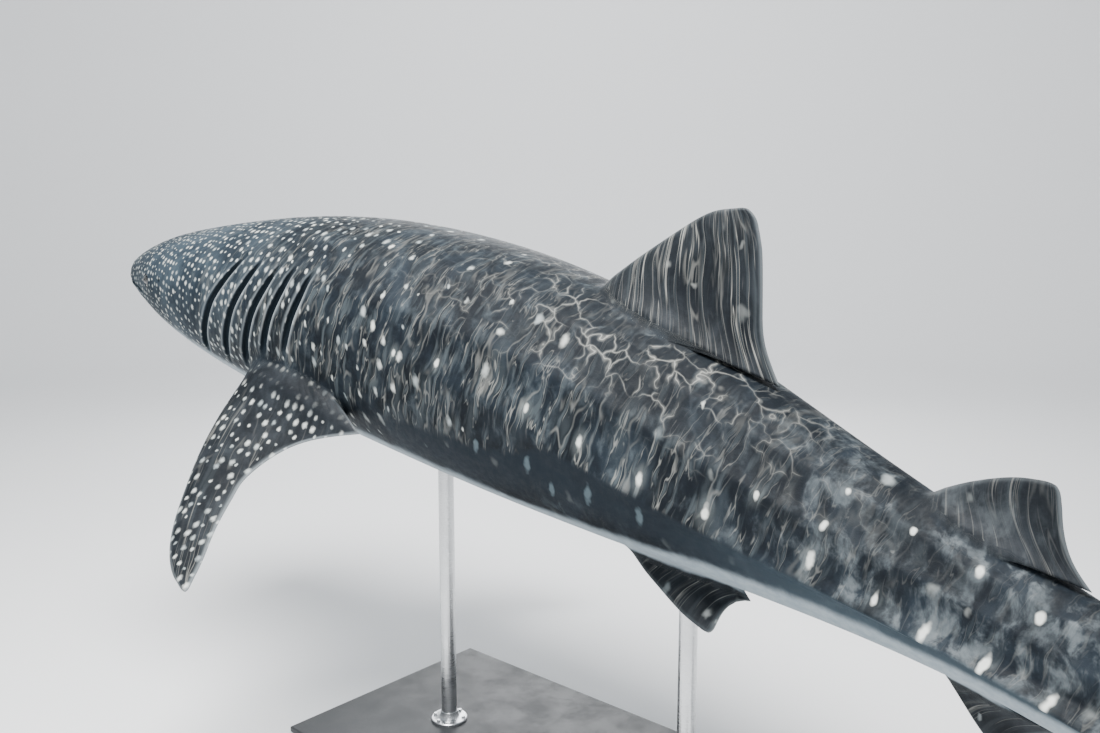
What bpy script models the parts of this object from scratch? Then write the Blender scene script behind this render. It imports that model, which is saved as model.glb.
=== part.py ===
"""Whale shark at life size, swimming in a slow left-hand bend, on a plain display stand.

Metres, +Z up. The head points towards -X and the animal's left side towards -Y.
The origin is the middle of the underside of the stand's base.

A place on the animal is a station, which is the share of the total length behind
the snout, with offsets to the left and up from the spine line in the same shares,
or with an angle round the body: 0 on the back, 90 on the left flank, 180 on the belly.
"""

from math import cos, exp, radians, sin, sqrt, tanh

import bmesh
import bpy
import numpy as np
from mathutils import Vector

# Driving dimensions, in metres
LENGTH = 7.0
MID_HEIGHT = 1.75
GAP = 0.0003
SKIN_CLEARANCE = 0.0005
FIN_EDGE = 0.003

# Pose: how the spine line turns, rises and rolls at these stations, in degrees
POSE_STATIONS = (0.0, 0.20, 0.45, 0.70, 1.0)
TURN = (5.6, 8.0, 0.0, -12.6, -24.5)
HEAD_UP = (10.8, 12.5, 14.7, 13.4, 13.8)
ROLL = (-2.7, -1.9, -1.4, 0.0, 0.0)
POSE_CENTRE = 0.45

# Body outline: stations, then top, bottom and half width from the spine line
NOSE = -0.0035
OUTLINE_STATIONS = (NOSE, 0.0, 0.01, 0.03, 0.06, 0.10, 0.20, 0.30,
                    0.40, 0.50, 0.60, 0.70, 0.80, 0.84, 0.885)
TOP = (-0.006, 0.004, 0.0145, 0.027, 0.038, 0.050, 0.0730, 0.083,
       0.082, 0.0695, 0.0510, 0.0370, 0.024, 0.014, 0.003)
BOTTOM = (0.006, 0.016, 0.0285, 0.044, 0.055, 0.064, 0.0755, 0.077,
          0.072, 0.0595, 0.043, 0.0285, 0.0195, 0.012, 0.003)
WIDTH = (0.0, 0.032, 0.060, 0.072, 0.0805, 0.086, 0.0887, 0.0858,
         0.0773, 0.0627, 0.0439, 0.0268, 0.0155, 0.010, 0.003)

# Ridges along each flank: angle and height at each station
RIDGE_STATIONS = (0.16, 0.28, 0.40, 0.46, 0.55, 0.65, 0.75, 0.80, 0.885)
UPPER_RIDGE = 35.0
MIDDLE_RIDGE = 61.0
KEEL_ANGLE = (80.0, 82.0, 84.0, 90.0, 96.0, 99.0, 96.0, 92.0, 90.0)
KEEL_HEIGHT = (0.0, 0.0005, 0.0015, 0.0022, 0.003, 0.005, 0.009, 0.011, 0.0)
FLANK_RIDGE_HEIGHT = (0.0, 0.0012, 0.0018, 0.0020, 0.0020, 0.0016, 0.0010, 0.0006, 0.0)
RIDGE_REACH = 9.0
BACK_PEAK_FROM = 0.42
BACK_PEAK = 0.30

# Lengths that the body is divided into
HEAD_END = 0.112
GILLS_END = 0.252
TRUNK_MIDDLE = 0.42
TRUNK_END = 0.585
STOCK_END = 0.735
PEDUNCLE_END = 0.884

# Gill slits: station at the level of the eye, lean per degree, lower end
GILL_LEVEL = 80.0
GILL_TOP = 53.0
GILLS = ((0.149, 0.00055, 126.0), (0.171, 0.00042, 121.0), (0.1915, 0.00038, 119.0),
         (0.2085, 0.00028, 110.0), (0.228, 0.00020, 101.0))
GILL_LEAN_LIMIT = 50.0
GILL_TOP_FADE = (9.0, 7.0)
GILL_END_FADE = (12.0, 4.0)
FLAP_LIFT = 0.0020
FLAP_START = -0.009
FLAP_START_LIFT = 0.2
FLAP_REACH = 0.0040
SLIT_FRONT = 0.0008
SLIT_BACK = 0.0035
SLIT_DEPTH = 0.0055
SLIT_BACK_DEPTH = 0.4
LAST_GILL_RING = 0.006

# Head
EYE_RADIUS = 0.030
EYE_STATION = 0.060
EYE_ANGLE = 91.0
EYE_SINK = 0.45
SPIRACLE_STATION = 0.079
MOUTH_CORNER = 0.042
MOUTH_LINE = ((-0.03, -0.0075), (0.0, -0.0085), (0.02, -0.0110), (MOUTH_CORNER, -0.0145))
MOUTH_OPEN = 0.0018
MOUTH_BLOCK_REACH = 0.13
JAW_HINGE = (0.066, -0.095)
LIP_RADIUS = 0.011
LIP_OFFSET = 0.0012
LIP_SINK = -0.0004
LIP_STATIONS = (0.040, 0.030, 0.020, 0.011, 0.004, 0.0, -0.0022)
NOSTRIL_STATION = 0.007
NOSTRIL_ANGLE = 72.0
NOSTRIL_RADIUS = 0.014
SPIRACLE_RADIUS = 0.019
SPIRACLE_ANGLE = 88.0
EYE_CLEARANCE = 0.0005
BARBEL_LENGTH = 0.045
BARBEL_RADII = (0.013, 0.006)
HEAD_STATIONS = (NOSE + 0.0004, -0.0018, 0.0015, 0.006, 0.012, 0.020, 0.030, 0.042, 0.056, 0.072, 0.092)

# Stand, in metres, with the stations that the rods hold
BASE_SIZE = (2.6, 1.3, 0.03)
BASE_EDGE = 0.006
BASE_STATION = 0.40
ROD_RADIUS = 0.04
ROD_SINK = 0.12
ROD_STATIONS = {"stand_rod_front": 0.31, "stand_rod_rear": 0.52}

# Angles of the points round each ring, apart from the three that carry the keel
RING_ANGLES_ABOVE = (0.0, 11.0, 23.0, UPPER_RIDGE, 44.0, GILL_TOP, MIDDLE_RIDGE, 70.0)
RING_ANGLES_BELOW = (112.0, 124.0, 136.0, 148.0, 160.0, 170.0, 180.0)


def smooth_curve(knots, values):
    """Natural cubic spline through the points, straight beyond both ends."""
    x = np.array(knots, float)
    y = np.array(values, float)
    h = np.diff(x)
    n = len(x)
    system = np.eye(n)
    right = np.zeros(n)
    for i in range(1, n - 1):
        system[i, i - 1:i + 2] = h[i - 1], 2 * (h[i - 1] + h[i]), h[i]
        right[i] = 3 * ((y[i + 1] - y[i]) / h[i] - (y[i] - y[i - 1]) / h[i - 1])
    c = np.linalg.solve(system, right)
    b = np.diff(y) / h - h * (2 * c[:-1] + c[1:]) / 3
    d = np.diff(c) / (3 * h)
    end_slope = b[-1] + h[-1] * (2 * c[-2] + 3 * h[-1] * d[-1])

    def value(t):
        if t <= x[0]:
            return y[0] + b[0] * (t - x[0])
        if t >= x[-1]:
            return y[-1] + end_slope * (t - x[-1])
        i = int(np.searchsorted(x, t)) - 1
        e = t - x[i]
        return y[i] + e * (b[i] + e * (c[i] + e * d[i]))

    return value


def between(low, high, value):
    """Share of the way from low to high, held at 0 and 1 beyond them."""
    return min(1.0, max(0.0, (value - low) / (high - low)))


def eased(share):
    return share * share * (3 - 2 * share)


class Spine:
    """The line through the animal, with its tailward, left and up directions."""

    FIRST, LAST, STEPS = -0.05, 1.05, 1100

    def __init__(self):
        turn = smooth_curve(POSE_STATIONS, [radians(a) for a in TURN])
        rise = smooth_curve(POSE_STATIONS, [radians(a) for a in HEAD_UP])
        roll = smooth_curve(POSE_STATIONS, [radians(a) for a in ROLL])
        self.stations = np.linspace(self.FIRST, self.LAST, self.STEPS + 1)
        self.tailward, self.left, self.up = [], [], []
        for station in self.stations:
            t, r, q = turn(station), rise(station), roll(station)
            tailward = Vector((cos(r) * cos(t), cos(r) * sin(t), -sin(r)))
            level_left = Vector((sin(t), -cos(t), 0.0))
            level_up = level_left.cross(tailward)
            self.tailward.append(tailward)
            self.left.append(level_left * cos(q) + level_up * sin(q))
            self.up.append(level_up * cos(q) - level_left * sin(q))
        step = LENGTH * (self.LAST - self.FIRST) / self.STEPS
        self.points = [Vector((0.0, 0.0, 0.0))]
        for a, b in zip(self.tailward, self.tailward[1:]):
            self.points.append(self.points[-1] + (a + b) * step / 2)
        base = self.at(BASE_STATION)[0]
        centre = self.at(POSE_CENTRE)[0]
        shift = Vector((-base.x, -base.y, MID_HEIGHT - centre.z))
        self.points = [point + shift for point in self.points]

    def at(self, station):
        """Point, tailward, left and up at a station."""
        place = between(self.FIRST, self.LAST, station) * self.STEPS
        i = min(int(place), self.STEPS - 1)
        share = place - i
        return [table[i].lerp(table[i + 1], share)
                for table in (self.points, self.tailward, self.left, self.up)]


spine = Spine()


def pose(station, left, up, tailward=0.0):
    """World point from shares of the length, with a last nudge tailward in metres."""
    point, t, l, u = spine.at(station)
    return point + (l * left + u * up) * LENGTH + t * tailward


def along(station):
    """Spacing for the outline's splines that makes the snout blunt."""
    return sqrt(max(0.0, station - NOSE))


OUTLINE_KNOTS = [along(s) for s in OUTLINE_STATIONS]
top_of = smooth_curve(OUTLINE_KNOTS, TOP)
bottom_of = smooth_curve(OUTLINE_KNOTS, BOTTOM)
width_of = smooth_curve(OUTLINE_KNOTS, WIDTH)
keel_angle = smooth_curve(RIDGE_STATIONS, KEEL_ANGLE)
keel_height = smooth_curve(RIDGE_STATIONS, KEEL_HEIGHT)
flank_ridge_height = smooth_curve(RIDGE_STATIONS, FLANK_RIDGE_HEIGHT)


def body_top(station):
    return top_of(along(station))


def section(station, angle, lift=0.0):
    """Left and up of the skin at an angle, lifted outwards, in shares of the length."""
    u = along(station)
    top, bottom, width = top_of(u), bottom_of(u), width_of(u)
    middle = (top - bottom) / 2 * (1 - eased(between(NOSE, 0.05, station)))
    side = 1 if angle >= 0 else -1
    a = radians(abs(angle))
    left = width * abs(sin(a)) ** 0.9
    if cos(a) > 0:
        peak = 1 + BACK_PEAK * eased(between(BACK_PEAK_FROM, 0.60, station))
        up = middle + (top - middle) * cos(a) ** peak
    else:
        up = middle - (bottom + middle) * abs(cos(a)) ** 0.9
    ridges = ((UPPER_RIDGE, flank_ridge_height), (MIDDLE_RIDGE, flank_ridge_height),
              (keel_angle(station), keel_height))
    if RIDGE_STATIONS[0] < station < RIDGE_STATIONS[-1]:
        for ridge, height in ridges:
            lift += height(station) * max(0.0, 1 - abs(abs(angle) - ridge) / RIDGE_REACH)
    reach = sqrt(left * left + (up - middle) ** 2)
    if reach > 0:
        left *= 1 + lift / reach
        up = middle + (up - middle) * (1 + lift / reach)
    return side * left, up


def ring_angles(station):
    """Angles of the left half from back to belly, then of the right half back up."""
    keel = keel_angle(min(max(station, RIDGE_STATIONS[0]), RIDGE_STATIONS[-1]))
    left = (RING_ANGLES_ABOVE + (keel - RIDGE_REACH, keel, keel + RIDGE_REACH) + RING_ANGLES_BELOW)
    return list(left) + [-a for a in left[-2:0:-1]]


def ring(station, tailward=0.0):
    """One flat ring of the skin."""
    return [pose(station, *section(station, a), tailward) for a in ring_angles(station)]


def plain_rings(first, last, count):
    """Rings of a plain length of the body, its ends half a gap short."""
    stations = np.linspace(first, last, count)
    ends = {0: GAP / 2, count - 1: -GAP / 2}
    return [ring(s, ends.get(i, 0.0)) for i, s in enumerate(stations)]


def gill_window(angle, lower_end):
    """1 along a gill slit, falling to 0 at its two ends."""
    a = abs(angle)
    below_top = eased(between(GILL_TOP - GILL_TOP_FADE[0], GILL_TOP + GILL_TOP_FADE[1], a))
    past_end = eased(between(lower_end - GILL_END_FADE[0], lower_end + GILL_END_FADE[1], a))
    return below_top * (1 - past_end)


def leaning_ring(gill, shift, lift, under):
    """A ring that leans along a gill slit, lifted or tucked under the flap inside it."""
    level, lean, lower_end = gill
    points = []
    for a in ring_angles(level):
        window = gill_window(a, lower_end)
        slope = GILL_LEAN_LIMIT * tanh((GILL_LEVEL - abs(a)) / GILL_LEAN_LIMIT)
        station = level + lean * slope + shift - under * window
        points.append(pose(station, *section(station, a, lift * window)))
    return points


def gill_rings(slits=True):
    """The gill region: each flap rises, ends in an edge and shades a slit behind it."""
    floor = -SLIT_DEPTH if slits else FLAP_LIFT
    foot = -SLIT_DEPTH * SLIT_BACK_DEPTH if slits else FLAP_LIFT
    under = FLAP_REACH if slits else 0.0
    rings = [ring(HEAD_END, GAP / 2)]
    for gill in GILLS:
        rings.append(leaning_ring(gill, FLAP_START, FLAP_LIFT * FLAP_START_LIFT, 0.0))
        rings.append(leaning_ring(gill, 0.0, FLAP_LIFT, 0.0))
        rings.append(leaning_ring(gill, SLIT_FRONT, floor, under))
        rings.append(leaning_ring(gill, SLIT_BACK, foot, 0.0))
    rings.append(ring(GILLS_END - LAST_GILL_RING))
    rings.append(ring(GILLS_END, -GAP / 2))
    return rings


def head_rings():
    rings = [ring(s) for s in HEAD_STATIONS]
    rings.append(ring(HEAD_END, -GAP / 2))
    return rings


BODY_LENGTHS = {
    "head": head_rings,
    "gill_region": gill_rings,
    "trunk_front": lambda: plain_rings(GILLS_END, TRUNK_MIDDLE, 9),
    "trunk_rear": lambda: plain_rings(TRUNK_MIDDLE, TRUNK_END, 9),
    "tail_stock": lambda: plain_rings(TRUNK_END, STOCK_END, 9),
    "caudal_peduncle": lambda: plain_rings(STOCK_END, PEDUNCLE_END, 11),
}


def clear_scene():
    for item in list(bpy.data.objects):
        bpy.data.objects.remove(item, do_unlink=True)


clear_scene()
model = bpy.data.collections.new("whale_shark")
cutters = bpy.data.collections.new("cutters")
bpy.context.scene.collection.children.link(model)
bpy.context.scene.collection.children.link(cutters)
anchor = bpy.data.objects.new("whale_shark_anchor", None)
model.objects.link(anchor)


def material(name, colour, roughness, metallic=0.0):
    made = bpy.data.materials.new(name)
    made.use_nodes = True
    shader = made.node_tree.nodes["Principled BSDF"]
    shader.inputs["Base Color"].default_value = (*colour, 1.0)
    shader.inputs["Roughness"].default_value = roughness
    shader.inputs["Metallic"].default_value = metallic
    made.diffuse_color = (*colour, 1.0)
    return made


BACK_SKIN = material("back_skin", (0.075, 0.105, 0.135), 0.42)
HEAD_SKIN = material("head_skin", (0.095, 0.125, 0.150), 0.42)
FIN_SKIN = material("fin_skin", (0.065, 0.090, 0.115), 0.45)
JAW_SKIN = material("jaw_skin", (0.48, 0.53, 0.56), 0.45)
EYE_GLASS = material("eye_glass", (0.010, 0.011, 0.013), 0.08)
BASE_PAINT = material("stand_base_paint", (0.035, 0.037, 0.040), 0.50)
ROD_STEEL = material("stand_rod_steel", (0.56, 0.57, 0.58), 0.30, 1.0)


def new_object(name, mesh, skin=None):
    """A node of the model, or a guide that only cuts when it has no skin."""
    made = bpy.data.objects.new(name, mesh)
    if skin is None:
        cutters.objects.link(made)
        made.hide_render = True
        made.display_type = "WIRE"
        return made
    model.objects.link(made)
    made.parent = anchor
    mesh.materials.clear()
    mesh.materials.append(skin)
    return made


def finish_mesh(bm, name):
    """Faces turned outwards and round parts shaded smooth, as a mesh."""
    bmesh.ops.recalc_face_normals(bm, faces=bm.faces)
    mesh = bpy.data.meshes.new(name)
    bm.to_mesh(mesh)
    bm.free()
    mesh.shade_smooth()
    mesh.set_sharp_from_angle(angle=radians(35))
    return mesh


def loft(name, rings, skin=None):
    """Closed solid through rings of equal count, split alike on both halves."""
    bm = bmesh.new()
    rows = [[bm.verts.new(p) for p in points] for points in rings]
    count = len(rows[0])
    for row, after in zip(rows, rows[1:]):
        for k in range(count):
            j = (k + 1) % count
            if k < count // 2:
                bm.faces.new((row[k], row[j], after[j]))
                bm.faces.new((row[k], after[j], after[k]))
            else:
                bm.faces.new((row[k], row[j], after[k]))
                bm.faces.new((row[j], after[j], after[k]))
    for row in (rows[0], rows[-1]):
        middle = bm.verts.new(sum((v.co for v in row), Vector()) / count)
        for k in range(count):
            bm.faces.new((row[k], row[(k + 1) % count], middle))
    return new_object(name, finish_mesh(bm, name), skin)


def keep_largest(item):
    """Drop every closed surface but the largest."""
    bm = bmesh.new()
    bm.from_mesh(item.data)
    bm.verts.ensure_lookup_table()
    left, shells = set(bm.verts), []
    while left:
        stack = [left.pop()]
        shell = set(stack)
        while stack:
            for edge in stack.pop().link_edges:
                for vert in edge.verts:
                    if vert in left:
                        left.remove(vert)
                        shell.add(vert)
                        stack.append(vert)
        shells.append(shell)
    shells.sort(key=len, reverse=True)
    bmesh.ops.delete(bm, geom=[v for shell in shells[1:] for v in shell], context="VERTS")
    bm.to_mesh(item.data)
    bm.free()


def combine(item, tool, operation):
    """Apply one Boolean, and keep one closed surface."""
    cut = item.modifiers.new(operation.lower(), "BOOLEAN")
    cut.operation = operation
    cut.solver = "EXACT"
    cut.object = tool
    graph = bpy.context.evaluated_depsgraph_get()
    result = bpy.data.meshes.new_from_object(item.evaluated_get(graph))
    item.modifiers.clear()
    item.data = result
    keep_largest(item)


def discard(*items):
    for item in items:
        bpy.data.objects.remove(item, do_unlink=True)


def body_guide():
    """The whole body a hair larger with its slits filled, which trims what meets the skin."""
    rings = []
    for name, make in BODY_LENGTHS.items():
        length = gill_rings(slits=False) if name == "gill_region" else make()
        rings += length[1 if rings else 0:]
    whole = loft("body_guide", rings)
    bm = bmesh.new()
    bm.from_mesh(whole.data)
    bm.normal_update()
    moves = [v.normal * SKIN_CLEARANCE * min(v.calc_shell_factor(), 2.0) for v in bm.verts]
    for vert, move in zip(bm.verts, moves):
        vert.co += move
    bm.to_mesh(whole.data)
    bm.free()
    return whole


CHORD_SHARES = (0.0, 0.04, 0.14, 0.32, 0.55, 0.80, 1.0)


def fin_ring(place, lead, trail, half_thickness, cut=1.0):
    """Section of a fin between two points of its outline, blunt in front, thin behind.

    A cut below 1 keeps only that share of the chord, as where a free rear lobe
    leaves the root."""
    sides = []
    for share in CHORD_SHARES:
        fat = 2.6 * sqrt(share * cut) * (1 - share * cut) * half_thickness
        fat = max(fat, FIN_EDGE / LENGTH)
        a = lead[0] + (trail[0] - lead[0]) * share
        b = lead[1] + (trail[1] - lead[1]) * share
        sides.append((a, b, fat))
    upper = [place(a, b, fat) for a, b, fat in sides]
    lower = [place(a, b, -fat) for a, b, fat in reversed(sides)]
    return upper + lower


def spread(points, count):
    """Points on a smooth curve through the given ones, evenly by their order."""
    order = range(len(points))
    curves = [smooth_curve(order, [p[axis] for p in points]) for axis in (0, 1)]
    return [tuple(curve(t) for curve in curves) for t in np.linspace(0, len(points) - 1, count)]


def fin(name, place, root, lead, trail, thickness, guide):
    """A fin from rings at its root and up its two edges, trimmed to the skin."""
    tip, body, flare, flare_height = thickness
    steps = len(lead) + 3
    full_chord = trail[0][0] - lead[0][0]
    height = abs(lead[-1][1] - lead[0][1])
    rings = []
    for front, back in root:
        cut = (back[0] - front[0]) / full_chord
        rings.append(fin_ring(place, front, back, tip + body + flare, min(1.0, cut)))
    for front, back in zip(spread(lead, steps), spread(trail, steps)):
        out = abs(front[1] - lead[0][1])
        half = tip + body * (1 - min(1.0, out / height)) + flare * exp(-out / flare_height)
        rings.append(fin_ring(place, front, back, half))
    made = loft(name, rings, FIN_SKIN)
    if guide:
        combine(made, guide, "DIFFERENCE")
    return made


def above_back(station, height, side):
    """Place of a point of a dorsal fin, by its height above the back."""
    return pose(station, side, body_top(station) + height)


def below_belly(station, depth, side):
    return pose(station, side, -bottom_of(along(station)) - depth)


def off_spine(station, up, side):
    return pose(station, side, up)


def paired_plane(station, left, up, droop, side):
    """Flat frame of a paired fin, rooted at one place and drooping from level."""
    point, tailward, to_left, upward = spine.at(station)
    to_left = to_left * side
    root = point + (to_left * left + upward * up) * LENGTH
    out = to_left * cos(radians(droop)) - upward * sin(radians(droop))
    normal = to_left * sin(radians(droop)) + upward * cos(radians(droop))

    def place(a, b, fat):
        return root + (tailward * a + out * b + normal * fat) * LENGTH

    return place


def body_nodes():
    skins = {"head": HEAD_SKIN, "gill_region": HEAD_SKIN}
    return {name: loft(name, make(), skins.get(name, BACK_SKIN)) for name, make in BODY_LENGTHS.items()}


def dorsal_fins(guide):
    fin("first_dorsal_fin", above_back,
        root=[((0.416, -0.016), (0.498, -0.012)), ((0.4165, -0.008), (0.500, 0.0010))],
        lead=[(0.419, 0.003), (0.440, 0.028), (0.464, 0.0538),
              (0.482, 0.0705), (0.495, 0.0775), (0.5015, 0.0803)],
        trail=[(0.551, 0.003), (0.5355, 0.0190), (0.5265, 0.0425),
               (0.5195, 0.0635), (0.5130, 0.0758), (0.5075, 0.0803)],
        thickness=(0.002, 0.009, 0.010, 0.010), guide=guide)
    fin("second_dorsal_fin", above_back,
        root=[((0.640, -0.012), (0.690, -0.008)), ((0.6415, -0.006), (0.691, 0.0008))],
        lead=[(0.645, 0.002), (0.6545, 0.0105), (0.6670, 0.0212),
              (0.6800, 0.0305), (0.6905, 0.0355), (0.6955, 0.0373)],
        trail=[(0.726, 0.003), (0.7165, 0.0090), (0.7090, 0.0180),
               (0.7045, 0.0265), (0.7012, 0.0338), (0.6985, 0.0370)],
        thickness=(0.0012, 0.0045, 0.0075, 0.005), guide=guide)


def anal_fin(guide):
    fin("anal_fin", below_belly,
        root=[((0.673, -0.010), (0.706, -0.008)), ((0.674, -0.005), (0.707, 0.0008))],
        lead=[(0.676, 0.002), (0.686, 0.010), (0.697, 0.019), (0.706, 0.0255), (0.7125, 0.0285)],
        trail=[(0.733, 0.003), (0.724, 0.010), (0.719, 0.018), (0.7175, 0.0245), (0.7160, 0.0285)],
        thickness=(0.0011, 0.0035, 0.005, 0.004), guide=guide)


def paired_fins(guide):
    for name, side in (("left", 1), ("right", -1)):
        fin("pectoral_fin_" + name, paired_plane(0.225, 0.080, -0.038, 38.0, side),
            root=[((-0.036, -0.030), (0.040, -0.030)), ((-0.0355, -0.002), (0.046, -0.002))],
            lead=[(-0.034, 0.010), (-0.0281, 0.0391), (-0.0159, 0.0711), (-0.0024, 0.0961),
                  (0.0097, 0.1158), (0.0241, 0.1331), (0.0390, 0.1440), (0.0540, 0.1492)],
            trail=[(0.0800, 0.0118), (0.0450, 0.0375), (0.0322, 0.0690), (0.0347, 0.0860),
                   (0.0420, 0.1080), (0.0510, 0.1265), (0.0570, 0.1400), (0.0595, 0.1488)],
            thickness=(0.0014, 0.0065, 0.0075, 0.012), guide=guide)
        fin("pelvic_fin_" + name, paired_plane(0.525, 0.022, -0.056, 40.0, side),
            root=[((-0.044, -0.020), (0.014, -0.024)), ((-0.044, -0.010), (0.026, -0.015))],
            lead=[(-0.0400, 0.0025), (-0.0190, 0.0092), (0.0020, 0.0150),
                  (0.0230, 0.0198), (0.0390, 0.0208)],
            trail=[(0.0500, -0.0070), (0.0455, -0.0040), (0.0418, 0.0015),
                   (0.0412, 0.0085), (0.0428, 0.0190)],
            thickness=(0.0011, 0.0035, 0.0025, 0.006), guide=guide)


def tail_fin(guide):
    """Upper and lower lobes, which meet each other on the level of the spine line."""
    split = GAP / 2 / LENGTH
    fork = 0.900
    fin("caudal_fin_upper", off_spine,
        root=[((0.797, split), (fork, split))],
        lead=[(0.805, 0.020), (0.838, 0.060), (0.876, 0.102),
              (0.926, 0.150), (0.966, 0.187), (0.982, 0.2000)],
        trail=[(0.8975, 0.022), (0.906, 0.060), (0.930, 0.102),
               (0.962, 0.150), (0.984, 0.187), (0.989, 0.2000)],
        thickness=(0.0012, 0.0048, 0.0030, 0.010), guide=guide)
    fin("caudal_fin_lower", off_spine,
        root=[((0.797, -split), (fork, -split))],
        lead=[(0.806, -0.020), (0.830, -0.048), (0.857, -0.077), (0.882, -0.102), (0.898, -0.1150)],
        trail=[(0.8955, -0.020), (0.8945, -0.048), (0.900, -0.077), (0.906, -0.102), (0.905, -0.1150)],
        thickness=(0.0012, 0.0048, 0.0030, 0.010), guide=guide)


def mouth_block(name, drop, back):
    """Prism in front of and below the mouth line, from side to side of the head."""
    outline = []
    for station, up in MOUTH_LINE:
        opening = drop * (1 - between(0.0, MOUTH_CORNER, station)) + back / LENGTH
        outline.append((station - back / LENGTH, up - opening))
    outline.append((JAW_HINGE[0] - back / LENGTH, JAW_HINGE[1]))
    outline.append((MOUTH_LINE[0][0], JAW_HINGE[1]))
    bm = bmesh.new()
    reach = (-MOUTH_BLOCK_REACH, MOUTH_BLOCK_REACH)
    sides = [[bm.verts.new(pose(s, side, u)) for s, u in outline] for side in reach]
    count = len(outline)
    for k in range(count):
        j = (k + 1) % count
        bm.faces.new((sides[0][k], sides[0][j], sides[1][j], sides[1][k]))
    for side in sides:
        bm.faces.new(side)
    bmesh.ops.triangulate(bm, faces=bm.faces)
    return new_object(name, finish_mesh(bm, name))


def angle_at_height(station, up):
    """Angle on the left flank where the skin passes a height."""
    low, high = 1.0, 179.0
    for _ in range(40):
        middle = (low + high) / 2
        if section(station, middle)[1] > up:
            low = middle
        else:
            high = middle
    return low


def lip(name, level_shift):
    """Round bead along the mouth line, from corner to corner round the snout."""
    level = smooth_curve(*zip(*MOUTH_LINE))
    points = []
    for side, stations in ((1, LIP_STATIONS), (-1, LIP_STATIONS[::-1])):
        for station in stations:
            angle = angle_at_height(station, level(station) + level_shift)
            points.append(pose(station, *section(station, angle * side, LIP_SINK)))
    path = bpy.data.curves.new(name, "CURVE")
    path.dimensions = "3D"
    path.bevel_depth = LIP_RADIUS
    path.bevel_resolution = 2
    path.use_fill_caps = True
    line = path.splines.new("POLY")
    line.points.add(len(points) - 1)
    for target, point in zip(line.points, points):
        target.co = (*point, 1.0)
    drawn = bpy.data.objects.new(name + "_path", path)
    cutters.objects.link(drawn)
    graph = bpy.context.evaluated_depsgraph_get()
    mesh = bpy.data.meshes.new_from_object(drawn.evaluated_get(graph))
    discard(drawn)
    bm = bmesh.new()
    bm.from_mesh(mesh)
    bmesh.ops.remove_doubles(bm, verts=bm.verts, dist=0.0001)
    return new_object(name, finish_mesh(bm, name))


def ball(name, centre, radius, skin=None, segments=16, rows=10):
    bm = bmesh.new()
    bmesh.ops.create_uvsphere(bm, u_segments=segments, v_segments=rows, radius=radius)
    bmesh.ops.translate(bm, verts=bm.verts, vec=centre)
    return new_object(name, finish_mesh(bm, name), skin)


def skin_frame(station, angle):
    """Point on the skin and its outward direction."""
    here = pose(station, *section(station, angle))
    outside = pose(station, *section(station, angle, 0.001))
    return here, (outside - here).normalized()


def barbel(name, side):
    """Short blunt feeler in front of a nostril."""
    here, out = skin_frame(NOSTRIL_STATION, NOSTRIL_ANGLE * side)
    forward = -spine.at(NOSTRIL_STATION)[1]
    way = (forward * 0.7 + out * 0.7).normalized()
    bm = bmesh.new()
    bmesh.ops.create_cone(bm, cap_ends=True, segments=10, radius1=BARBEL_RADII[0],
                          radius2=BARBEL_RADII[1], depth=BARBEL_LENGTH)
    turn = Vector((0, 0, 1)).rotation_difference(way).to_matrix()
    bmesh.ops.rotate(bm, verts=bm.verts, matrix=turn)
    bmesh.ops.translate(bm, verts=bm.verts, vec=here + way * BARBEL_LENGTH * 0.2)
    return new_object(name, finish_mesh(bm, name))


def eyes(head):
    for name, side in (("left", 1), ("right", -1)):
        here, out = skin_frame(EYE_STATION, EYE_ANGLE * side)
        centre = here - out * EYE_RADIUS * EYE_SINK
        socket = ball("socket", centre, EYE_RADIUS + EYE_CLEARANCE)
        combine(head, socket, "DIFFERENCE")
        discard(socket)
        ball("eye_" + name, centre, EYE_RADIUS, EYE_GLASS)


def nostrils_and_spiracles(head):
    for side in (1, -1):
        feeler = barbel("feeler", side)
        combine(head, feeler, "UNION")
        nostril_at = skin_frame(NOSTRIL_STATION + 0.005, (NOSTRIL_ANGLE - 4) * side)[0]
        nostril = ball("nostril", nostril_at, NOSTRIL_RADIUS, segments=10, rows=6)
        combine(head, nostril, "DIFFERENCE")
        spiracle_at = skin_frame(SPIRACLE_STATION, SPIRACLE_ANGLE * side)[0]
        spiracle = ball("spiracle", spiracle_at, SPIRACLE_RADIUS, segments=12, rows=6)
        combine(head, spiracle, "DIFFERENCE")
        discard(feeler, nostril, spiracle)


def mouth(head):
    """Part the lower jaw from the head along the mouth line, each with its lip."""
    jaw = new_object("lower_jaw", head.data.copy(), JAW_SKIN)
    for item, shift in ((head, LIP_OFFSET), (jaw, -LIP_OFFSET - MOUTH_OPEN)):
        bead = lip("lip", shift)
        combine(item, bead, "UNION")
        discard(bead)
    below = mouth_block("below_mouth", 0.0, 0.0)
    combine(head, below, "DIFFERENCE")
    jaw_block = mouth_block("jaw_block", MOUTH_OPEN, GAP)
    combine(jaw, jaw_block, "INTERSECT")
    discard(below, jaw_block)


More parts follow.
